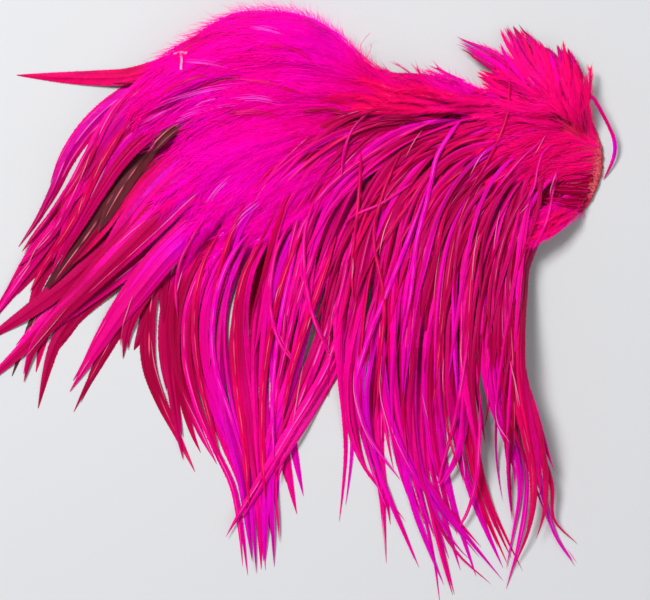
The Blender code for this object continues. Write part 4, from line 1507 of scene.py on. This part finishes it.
# %% [markdown]
# ## The sweep of the top hackles
# The last long hackles grow in a row along the top of the hide. They leave it to the left, sweep round
# in a wide bend and fall with the rest. Seven guides mark that bend from the flattest to the steepest, and
# each strand follows a line blended from the two guides beside it, with a wander of its own.

# %% Lay the sweep of top hackles
GUIDES = [
    [(505, 99), (450, 104), (400, 110), (350, 122), (310, 145), (272, 180), (242, 222), (220, 270),
     (208, 320), (204, 372)],
    [(522, 108), (470, 112), (425, 119), (380, 132), (342, 157), (312, 192), (292, 238), (278, 290),
     (268, 345), (262, 400)],
    [(536, 116), (492, 121), (452, 130), (415, 146), (381, 172), (352, 207), (331, 248), (316, 300),
     (304, 352), (294, 405)],
    [(545, 124), (510, 132), (476, 143), (445, 160), (416, 187), (393, 222), (376, 268), (364, 322),
     (356, 382), (356, 445)],
    [(551, 132), (526, 142), (500, 156), (477, 176), (455, 205), (438, 242), (426, 288), (418, 345),
     (414, 410), (420, 475)],
    [(558, 142), (539, 154), (521, 171), (505, 193), (490, 225), (479, 266), (472, 318), (468, 378),
     (468, 440), (474, 505)],
    [(566, 154), (552, 168), (541, 188), (531, 214), (522, 250), (515, 296), (511, 352), (510, 415),
     (514, 475), (522, 535)],
]
guide_lines = [route_line(route, STATIONS) for route in GUIDES]
KINDS, KIND_SHARES = [MAGENTA, CRIMSON, PURPLE], [0.52, 0.38, 0.10]
BEYOND_LAST, LAST_GUIDE = 6.2, 5.999
BARE_BELOW, FEWEST_STATIONS = 0.0006, 14


def between_guides(where):
    k = min(int(where), len(guide_lines) - 2)
    return guide_lines[k] * (1 - where + k) + guide_lines[k + 1] * (where - k)


def supported(line):
    """How much of a line has the pile under it: a strand ends before it would hang over the bare table."""
    bare = pile.top(line, 3) < BARE_BELOW
    for at in range(8, len(line) - 1):
        if bare[at] and bare[at + 1]:
            return at
    return len(line)


def lay_sweep(title, number, first_guide, widest):
    """Strands between the guides, from the first one given to the last."""
    sweep = heaps_of(*KINDS)
    for _ in range(number):
        line = between_guides(np.clip(chance.uniform(first_guide, BEYOND_LAST), 0, LAST_GUIDE))
        begin, end = chance.uniform(0.0, 0.22), chance.uniform(0.55, 1.0)
        line = smooth_between(line, np.linspace(begin, end, STATIONS))
        aside = waves(STATIONS, 0.0035, chance.uniform(0.5, 1.4)) + chance.normal(0, 0.0015)
        line = line + left_of(line) * aside[:, None]
        line = line[:supported(line)]
        if len(line) > FEWEST_STATIONS:
            lay_strand(sweep[chance.choice(KINDS, p=KIND_SHARES)], line, chance.uniform(0.0011, widest))
    finish_all(title + "_", sweep)
    print(title, "laid:", {kind: plumage.blades for kind, plumage in sweep.items()})


lay_sweep("sweep", 80, -0.25, 0.0023)

# %% [markdown]
# ## Short feathers at the head end
# Red, short feathers cover the hide, the lower corner and the foot of the neck tuft, with fine silk over
# them. A second, thinner sweep goes down between them, so that long strands start from under short ones,
# as they do on the skin.

# %% Short feathers over the hide, the neck and the corner
NECK_MANTLE = [(512, 82), (540, 76), (574, 92), (586, 108), (592, 126), (560, 124), (520, 106), (504, 94)]
HIDE_MANTLE = [(496, 100), (560, 106), (590, 108), (598, 130), (602, 146), (601, 164), (596, 178),
               (560, 178), (528, 158), (496, 128)]
CORNER_MANTLE = [(592, 203), (584, 213), (566, 225), (552, 232), (548, 222), (562, 210), (580, 203)]
NECK_SILK = [(500, 72), (520, 60), (545, 66), (566, 74), (578, 92), (584, 106), (560, 120), (520, 104),
             (498, 92)]

lay_mantle("hide_mantle", RED_DOWN, HIDE_MANTLE, 0.0046, 0.026, 0.0016, 0.0070, 0.0006,
           0.35, sunk=0.0002)
lay_sweep("top_sweep", 30, 1.5, 0.0016)
lay_mantle("corner_mantle", RED_DOWN, CORNER_MANTLE, 0.0046, 0.015, 0.0018, 0.0070, 0.0006, 0.3)
lay_mantle("neck_mantle", RED_DOWN, NECK_MANTLE, 0.0060, 0.022, 0.0018, 0.0070, 0.0007,
           0.3, from_top)
lay_silk("hide_silk", RED_DOWN, HIDE_MANTLE, 0.0017, 0.013, 0.00024, 0.9)
lay_silk("neck_silk", RED_DOWN, NECK_SILK, 0.0020, 0.013, 0.00024, 0.6)
print("mantle laid over the hide, the neck and the corner")

# %% [markdown]
# ## The points of the tuft
# The tuft at the neck ends in a few slim points that stand out against the table. Each is placed one by
# one, because the eye compares a silhouette point by point.

# %% Lay the points of the tuft
# Each is a dye, a width in millimetres and a route from the root to the tip.
NECK_POINTS = [
    (RED_DOWN, 3.4, [(530, 80), (519, 62), (508, 45), (500, 29)]),
    (DOWN, 3.0, [(528, 86), (516, 70), (506, 57), (499, 45)]),
    (RED_DOWN, 2.8, [(516, 94), (500, 86), (488, 78), (477, 71)]),
    (RED_DOWN, 2.6, [(516, 100), (504, 95), (492, 89), (481, 82)]),
    (RED_DOWN, 3.0, [(546, 84), (541, 68), (536, 54), (532, 40)]),
    (RED_DOWN, 2.8, [(553, 84), (550, 69), (546, 56), (540, 43)]),
    (RED_DOWN, 3.2, [(568, 92), (569, 76), (566, 60), (560, 43)]),
    (DOWN, 3.0, [(560, 88), (557, 74), (553, 62), (549, 52)]),
    (RED_DOWN, 3.0, [(578, 102), (579, 90), (577, 80), (573, 69)]),
    (RED_DOWN, 2.6, [(540, 74), (532, 58), (525, 42), (520, 30)]),
    (DOWN, 3.2, [(512, 78), (500, 66), (488, 58), (474, 50)]),
]
neck_points = heaps_of(RED_DOWN, DOWN)
for kind, width, route in NECK_POINTS:
    path = rest_on_pile(route_line(route, NECK_STATIONS), 0.0006, 0.001)
    tone, half = chance.uniform(), lance_width(NECK, width / 2 * MM)
    rolled = chance.normal(0, 0.2) + 0 * NECK
    blade = add_blade(neck_points[kind], path, half, rolled, SOFT_ARCH, tone, fluff_until=0.5)
    add_fringe(neck_points[kind], blade, reach=0.0013, spacing=0.0009, tone=tone)
    add_barbs(neck_points[kind], path, 0.02, 0.85, length=0.0050, spacing=0.0009, width=FINE_BARB,
              spread=0.4, tone=tone, highest=0.1)
finish_all("neck_points_", neck_points)
print("points of the tuft:", len(NECK_POINTS))

# %% [markdown]
# ## Single strands that catch the eye
# A few hackles lie across the others or catch the light, and a reader of the cape knows it by them. Each
# is drawn one by one: its dye, its width in millimetres and its route, on the pile as laid so far.

# %% Lay the single strands
STRANDS = [
    (PURPLE, 2.8, [(462, 119), (452, 131), (437, 156), (431, 182), (425, 208), (416, 244), (411, 290),
                   (401, 345)]),
    (PURPLE, 3.0, [(430, 180), (400, 260), (368, 340), (356, 390), (368, 435), (400, 480)]),
    (MAGENTA, 2.6, [(322, 196), (306, 236), (302, 270), (312, 312), (333, 358)]),
    (MAGENTA, 2.4, [(290, 222), (275, 255), (268, 295), (279, 333), (297, 367)]),
    (CRIMSON, 1.7, [(510, 76), (509, 96), (506, 118), (498, 140), (487, 162), (470, 190)]),
    (MAGENTA, 1.6, [(550, 132), (540, 142), (521, 159), (502, 182), (490, 200)]),
    (MAGENTA, 1.9, [(555, 142), (543, 153), (538, 167), (533, 190), (519, 212)]),
    (MAGENTA, 1.9, [(557, 170), (553, 192), (546, 222), (532, 251)]),
    (MAGENTA, 1.6, [(416, 180), (397, 193), (380, 204), (355, 215), (344, 224)]),
    (MAGENTA, 1.6, [(392, 99), (368, 113), (352, 130), (344, 152), (341, 178)]),
    (CRIMSON, 2.2, [(361, 150), (360, 175), (357, 215), (352, 262), (353, 300)]),
    (CRIMSON, 2.4, [(401, 150), (382, 196), (374, 240), (384, 300), (380, 360), (376, 420)]),
    (MAGENTA, 2.6, [(470, 330), (462, 380), (455, 420), (446, 455), (437, 488)]),
    (MAGENTA, 2.6, [(480, 400), (479, 440), (476, 480), (468, 510), (459, 527)]),
    (CRIMSON, 1.8, [(444, 330), (443, 360), (444, 392), (448, 430), (458, 470)]),
    (MAGENTA, 5.4, [(140, 84), (118, 104), (105, 124), (95, 145), (84, 170), (71, 200), (54, 230),
                    (34, 252), (18, 266)]),
    (CRIMSON, 4.6, [(130, 120), (112, 145), (98, 170), (84, 200), (66, 232), (46, 262), (30, 292)]),
    (BROWN, 9.6, [(200, 116), (178, 123), (160, 137), (143, 157), (126, 182), (112, 206), (98, 232)]),
    (CRIMSON, 4.0, [(222, 228), (203, 265), (195, 305), (196, 350), (205, 400), (219, 452)]),
    (PURPLE, 3.4, [(250, 230), (229, 260), (216, 298), (212, 340), (217, 375), (229, 412), (243, 456)]),
    (CRIMSON, 4.6, [(264, 236), (243, 278), (234, 330), (237, 390), (245, 450), (249, 505)]),
    (CRIMSON, 4.2, [(302, 230), (283, 280), (271, 330), (263, 385), (262, 440), (265, 500)]),
    (MAGENTA, 4.0, [(320, 238), (301, 290), (288, 340), (277, 390), (270, 440)]),
    (CRIMSON, 4.0, [(336, 236), (320, 284), (304, 330), (291, 372), (282, 420)]),
    (PURPLE, 3.0, [(296, 250), (284, 300), (276, 350), (272, 400), (274, 460)]),
    (CRIMSON, 3.6, [(100, 140), (84, 168), (66, 196), (50, 216), (34, 236), (22, 252)]),
    (MAGENTA, 2.2, [(208, 214), (192, 238), (180, 262), (176, 290), (178, 320)]),
]
BROAD_STRAND, BROADEST_STRAND = 4, 6
singles = heaps_of(*KINDS, BROWN)
for kind, width, route in STRANDS:
    lift = (0.9 + 0.06 * width) * MM
    roll = 0.10 if width > BROAD_STRAND else 0.25
    sunk = 0.004 if width > BROADEST_STRAND else 0.002
    # Own numbers near 0 keep these strands in the bright dye and turn on the painted highlight along the
    # shaft, in places.
    lay_strand(singles[kind], on_table(route), width / 2 * MM, lift, roll, sunk, chance.uniform(0.0, 0.03))
finish_all("single_", singles)
print("single strands:", len(STRANDS))

# %% [markdown]
# ## Bare shafts that glint
# Here and there a bare shaft lies on top and throws the light back as a short pale line. The material's
# own glints fall by chance, so those that the eye finds in the picture are laid one by one as slivers.

# %% Lay the glinting shafts
GLINTS = [
    [(106, 166), (99, 180), (90, 198)], [(90, 154), (85, 168), (78, 184)], [(103, 157), (97, 172)],
    [(83, 197), (78, 215)], [(54, 226), (37, 247), (27, 265), (12, 283)],
    [(146, 220), (130, 233), (116, 246)], [(189, 110), (202, 102), (219, 98)],
    [(160, 116), (176, 104), (196, 96)], [(182, 271), (179, 282), (177, 292)],
    [(67, 308), (45, 334), (24, 359)], [(90, 359), (84, 368), (78, 378)],
    [(133, 295), (127, 312), (122, 328)], [(151, 340), (155, 367), (165, 400)],
    [(281, 284), (277, 293), (275, 303)], [(353, 258), (353, 268), (352, 279)],
    [(311, 317), (309, 323), (307, 330)], [(334, 345), (331, 353), (329, 361)],
    [(303, 365), (298, 393), (293, 424)], [(183, 393), (201, 431), (214, 460)],
    [(354, 370), (354, 393), (362, 424), (374, 449)], [(444, 358), (443, 374), (443, 391)],
    [(382, 356), (380, 393), (389, 430), (397, 467)], [(422, 393), (425, 407), (428, 420)],
    [(510, 361), (515, 382), (520, 406)], [(496, 404), (499, 425), (510, 443)],
    [(462, 454), (464, 466), (465, 478)], [(567, 549), (572, 556), (577, 563)],
    [(382, 515), (384, 533), (386, 552)], [(529, 204), (524, 209), (520, 214)],
    [(422, 130), (413, 143), (406, 157)], [(545, 136), (539, 147), (533, 158)],
    [(556, 173), (552, 185), (550, 195)], [(440, 250), (436, 275), (434, 300)],
    [(478, 230), (474, 255), (472, 280)], [(392, 212), (384, 232), (379, 255)],
    [(500, 210), (496, 232), (494, 250)], [(462, 330), (461, 352), (462, 372)],
    [(486, 150), (477, 162), (470, 176)],
]
# Painted highlight: the pale colour of each sliver stands for the light that its shaft throws back.
GLINT_STATIONS, GLINT_END = 14, 0.15
glints = Plumage()
for route in GLINTS:
    path = over_pile(route_line(route, GLINT_STATIONS), 0.0004, 8)
    swell = np.sin(np.linspace(GLINT_END, math.pi - GLINT_END, GLINT_STATIONS))
    slim = chance.uniform(0.00016, 0.00030) * swell
    add_blade(glints, path, slim, np.zeros(GLINT_STATIONS), 0.6, chance.uniform())
finish_piece(glints, "glinting_shafts", "glinting_shaft")
print("glints:", glints.blades)

# %% [markdown]
# ## Painted sheen streaks and crease shade
# Over the soft feathers, pale barbs in bundles stand for the gleam of silk as a painted highlight, and dark
# ones lie along the creases between one feather and the next as painted shade. Both are hairs laid along
# a few routes, scattered to either side.

# %% Lay the painted sheen streaks and the crease shade
PAINTED_SHEEN_STREAKS = [
    [(152, 108), (180, 96), (214, 88), (250, 86)], [(184, 63), (206, 64), (230, 68)],
    [(140, 124), (162, 111), (185, 103)], [(172, 122), (200, 111), (236, 105)],
    [(228, 100), (255, 98), (285, 104)], [(250, 28), (268, 30), (286, 36)],
    [(232, 176), (218, 190), (206, 206)], [(262, 200), (244, 214), (230, 232)],
]
CREASE_SHADE_ROUTES = [
    [(168, 62), (184, 48), (204, 38), (232, 33), (268, 36)], [(236, 80), (262, 82), (288, 89), (312, 98)],
    [(222, 114), (250, 111), (284, 118)], [(176, 132), (200, 123), (232, 121)],
    [(350, 118), (385, 108), (420, 108)], [(372, 119), (396, 116), (424, 119)],
    [(186, 92), (214, 80), (248, 76)], [(268, 44), (296, 50), (318, 64)],
    [(300, 112), (330, 110), (356, 116)], [(160, 96), (182, 82), (210, 74)],
]
WISP_STATIONS = 12


def lay_wisps(name, kind, routes, number, scatter, slimmest, widest, lift):
    """Bundles of hairs along the given routes; here pale ones paint sheen and dark ones paint shade."""
    plumage = Plumage()
    for route in routes:
        for _ in range(number):
            line = on_table(route) + chance.normal(0, scatter, 2)
            share = np.linspace(chance.uniform(0, 0.4), chance.uniform(0.6, 1), WISP_STATIONS)
            path = over_pile(smooth_between(line, share), lift, 8)
            add_hair(plumage, path, chance.uniform(slimmest, widest), chance.uniform())
    finish_piece(plumage, name, kind)
    return plumage.barbs


# Pale hairs: a painted sheen highlight over the soft feathers.
sheen_count = lay_wisps("painted_sheen_streaks", "painted_sheen_barbs", PAINTED_SHEEN_STREAKS, 9, scatter=0.0011,
                       slimmest=0.0002, widest=0.0004, lift=0.0010)
# Dark hairs along the creases: painted shade.
crease_shade_count = lay_wisps("crease_shade_barbs", QUILL, CREASE_SHADE_ROUTES, 13, scatter=0.0007,
                         slimmest=0.0003, widest=0.0008, lift=0.0008)
print("loose barbs in streaks and creases:", sheen_count, crease_shade_count)

# %% [markdown]
# ## Loose fuzz, curly hairs and a fleck
# Along the top of the tail, the ridge and the corner, single barbs stick out past the outline, and two
# long hairs curl up. A pale fleck of undyed fluff clings near the left. They are tiny, and without
# them the cape looks new.

# %% Lay the fuzz, the hairs and the fleck
FUZZ_STATIONS, FUZZ_COMB = 60, 0.0012
FUZZY_EDGES = [(TAIL_EDGE, 0.0110), (RIDGE_EDGE, 0.0090), (CORNER_EDGE, 0.0050)]
FUZZ_TONES = [(0.2, 1.0), (0.5, 0.8), (0.9, 0.6), (0.35, 1.2)]
CURLY_HAIRS = [[(359, 54), (361, 46), (365, 40), (370, 35)], [(366, 60), (369, 54), (371, 49), (370, 46)]]
HAIR_STATIONS, HAIR_HALF, HAIR_LOW, HAIR_HIGH = 14, 0.00013, 0.004, 0.009
FLECK = [[(174, 55), (180, 53), (187, 54)], [(181, 54), (182, 61), (181, 69)]]

fuzz = Plumage()
for route, length in FUZZY_EDGES:
    path = over_pile(route_line(route, FUZZ_STATIONS), -0.0004, 60, 0.05)
    for tone, spread in FUZZ_TONES:
        reach = length * chance.uniform(0.7, 1.1)
        add_barbs(fuzz, path, 0.0, 1.0, reach, FUZZ_COMB, FINE_BARB, spread, tone, curl=0.6)
for route in CURLY_HAIRS:
    rising = np.linspace(HAIR_LOW, HAIR_HIGH, HAIR_STATIONS)
    path = np.column_stack([route_line(route, HAIR_STATIONS), rising])
    add_blade(fuzz, path, np.full(HAIR_STATIONS, HAIR_HALF), np.zeros(HAIR_STATIONS), 0.5, 0.3)
finish_piece(fuzz, "loose_fuzz", DOWN)

fleck = Plumage()
for route in FLECK:
    path = over_pile(route_line(route, WISP_STATIONS), 0.0010, 8)
    add_barbs(fleck, path, 0.0, 1.0, length=0.0014, spacing=0.00030, width=FINE_BARB, spread=0.9,
              tone=chance.uniform())
finish_piece(fleck, "pale_fleck", "undyed_fluff")
print("fuzz and fleck:", fuzz.count, fleck.count, "points")

# %% [markdown]
# ## Wide feathers that close the pile
# Under the deep parts lie wide feathers that nobody sees as such. Without them the pale table would shine
# through every chink, and a real cape is dark there. Some lie flat on the table as a carpet, and others
# at several heights inside the mound, a little under its surface. They take no number from the chance
# that scatters the rest, so they can be changed without moving any other feather.

# %% Lay the carpet and the feathers inside
# In the carpet, each is a dye, a width in millimetres and a route.
CARPET = [
    (BROWN, 10, [(178, 124), (150, 144), (126, 174), (104, 208), (84, 242)]),
    (CRIMSON, 16, [(400, 120), (340, 97), (280, 84), (220, 92), (172, 118), (142, 152)]),
    (CRIMSON, 16, [(396, 108), (340, 76), (280, 60), (224, 66), (176, 92), (146, 122)]),
    (CRIMSON, 16, [(392, 98), (345, 60), (290, 42), (238, 44), (196, 64), (158, 92)]),
    (CRIMSON, 16, [(404, 128), (350, 120), (300, 116), (242, 126), (196, 160), (166, 200)]),
    (CRIMSON, 16, [(404, 136), (350, 142), (300, 152), (252, 178), (218, 218), (200, 250)]),
    (CRIMSON, 16, [(392, 138), (342, 162), (302, 192), (262, 234)]),
    (CRIMSON, 14, [(540, 112), (490, 110), (440, 108), (396, 108)]),
    (CRIMSON, 7, [(182, 215), (171, 250), (164, 285), (163, 322)]),
    (CRIMSON, 6, [(266, 232), (257, 270), (253, 310), (254, 352)]),
]
# Inside the mound, each is a height and a width in millimetres, and a route.
INNER = [
    (6, 16, [(350, 92), (290, 84), (232, 88), (186, 106), (154, 136)]),
    (12, 16, [(350, 100), (290, 92), (236, 96), (196, 112), (170, 134)]),
    (6, 16, [(340, 72), (285, 60), (230, 64), (184, 84), (150, 112)]),
    (5, 14, [(222, 46), (194, 58), (170, 74), (148, 96), (132, 120)]),
    (13, 12, [(206, 56), (186, 68), (170, 80), (157, 92), (146, 108), (138, 124)]),
    (15, 16, [(238, 70), (212, 84), (192, 102), (174, 122), (160, 142)]),
    (4, 12, [(508, 108), (470, 108), (430, 106), (390, 102)]),
    (8, 12, [(508, 106), (470, 106), (430, 104), (390, 100)]),
    (12, 11, [(500, 104), (470, 104), (430, 102), (390, 99)]),
]
CARPET_ARCH, UNDER_SURFACE, LOWEST_INNER, HEIGHTS = 0.05, 0.002, 0.0008, 20


def add_wide(kind, line, heights, width, tone):
    """A wide, nearly flat feather along a line on the table, at the given heights."""
    path = np.column_stack([line, heights])
    add_blade(carpet[kind], path, spade_width(OWN, width / 2 * MM), 0 * OWN, CARPET_ARCH, tone)


carpet = heaps_of(BROWN, CRIMSON)
for number, (kind, width, route) in enumerate(CARPET):
    level = np.full(STATIONS, (0.5 + 0.1 * number) * MM)
    add_wide(kind, route_line(route, STATIONS), level, width, number / len(CARPET))
for height, width, route in INNER:
    line = route_line(route, STATIONS)
    level = eased(np.clip(pile.top(line) - UNDER_SURFACE, LOWEST_INNER, height * MM), 12, 0.002)
    add_wide(CRIMSON, line, level, width, height / HEIGHTS)
finish_all("carpet_", carpet)
print("wide feathers:", len(CARPET), "in the carpet and", len(INNER), "inside")

# %% [markdown]
# ## Last strands
# Seen from above, the soft feathers of the ridge run on to the left over the roots of the sweep, and a few
# strands lie on top of everything else. They are laid at the very end, on the finished pile.

# %% Lay the ridge cover and the last strands
RIDGE_COVER = [(366, 98), (400, 92), (440, 92), (498, 99), (500, 110), (450, 111), (404, 111), (368, 107)]
LAST_STRANDS = [
    (MAGENTA, 2.6, [(104, 122), (94, 141), (84, 158), (73, 180), (58, 203), (43, 224), (28, 244)]),
    (MAGENTA, 2.2, [(290, 222), (276, 252), (270, 290), (272, 318), (280, 343), (297, 367)]),
    (MAGENTA, 2.2, [(314, 200), (305, 230), (304, 262), (307, 290), (314, 320), (330, 357)]),
    (BROWN, 3.4, [(210, 118), (193, 122), (178, 129), (165, 140), (152, 153)]),
]

lay_mantle("ridge_cover", RED_DOWN, RIDGE_COVER, 0.0052, 0.028, 0.0017, 0.0070, 0.0006,
           0.25)
last = heaps_of(MAGENTA, BROWN)
for kind, width, route in LAST_STRANDS:
    # Own numbers near 0 keep these strands in the bright dye and turn on the painted highlight along the
    # shaft, in places.
    lay_strand(last[kind], on_table(route), width / 2 * MM, lift=0.0009, roll=0.15,
               tone=chance.uniform(0.0, 0.03))
finish_all("last_", last)
print("last strands:", len(LAST_STRANDS))

# %% [markdown]
# ## Floor, light and camera
# The cape is seen from straight above. The camera hangs a little over a metre up with a long lens, so
# that the edges of the picture are not stretched. A large soft light from the upper left makes the
# short shadows to the lower right of each strand, and the pale surroundings fill them.

# %% Floor, light and camera
FLOOR_HALF, FLOOR_GREY = 3.0, (0.56, 0.56, 0.57, 1)
AIM = Vector((-0.08, -0.10, 0))
SKY, SKY_STRENGTH = (0.9, 0.93, 1.0, 1), 0.32


def make_floor():
    mesh = bpy.data.meshes.new("floor")
    corners = [(x * FLOOR_HALF, y * FLOOR_HALF, 0) for x, y in ((-1, -1), (1, -1), (1, 1), (-1, 1))]
    mesh.from_pydata(corners, [], [(0, 1, 2, 3)])
    floor = bpy.data.objects.new("floor", mesh)
    bpy.context.scene.collection.objects.link(floor)
    material, _, shader = new_material("pale_floor")
    shader.inputs["Base Color"].default_value = FLOOR_GREY
    shader.inputs["Roughness"].default_value = 0.9
    mesh.materials.append(material)


def soft_light(name, place, size, power):
    lamp = bpy.data.lights.new(name, "AREA")
    lamp.size, lamp.energy = size, power
    holder = bpy.data.objects.new(name, lamp)
    holder.location = place
    holder.rotation_euler = (AIM - Vector(place)).to_track_quat("-Z", "Y").to_euler()
    bpy.context.scene.collection.objects.link(holder)


make_floor()
soft_light("key", (-0.95, 0.75, 2.00), 0.70, 62.0)
soft_light("fill", (1.00, -0.80, 1.60), 1.6, 8.0)
world = bpy.data.worlds.new("studio")
world.use_nodes = True
world.node_tree.nodes["Background"].inputs["Color"].default_value = SKY
world.node_tree.nodes["Background"].inputs["Strength"].default_value = SKY_STRENGTH
bpy.context.scene.world = world
camera_data = bpy.data.cameras.new("camera")
camera_data.lens, camera_data.sensor_width = LENS, SENSOR
camera = bpy.data.objects.new("camera", camera_data)
camera.location = (*VIEW_CENTRE, CAMERA_HEIGHT)
bpy.context.scene.collection.objects.link(camera)
bpy.context.scene.camera = camera
bpy.context.scene.view_settings.view_transform = "Standard"
print("camera height:", round(camera.location.z, 3), "m")

# %% [markdown]
# ## Triangles
# The triangles of every shown mesh are counted and printed. The feathers may stand a little proud of
# the solids, and no more.

# %% Count the triangles
triangles = sum(len(poly.vertices) - 2 for o in bpy.data.objects if o.type == "MESH" and not o.hide_render
                for poly in o.data.polygons)
print("triangles shown:", triangles)
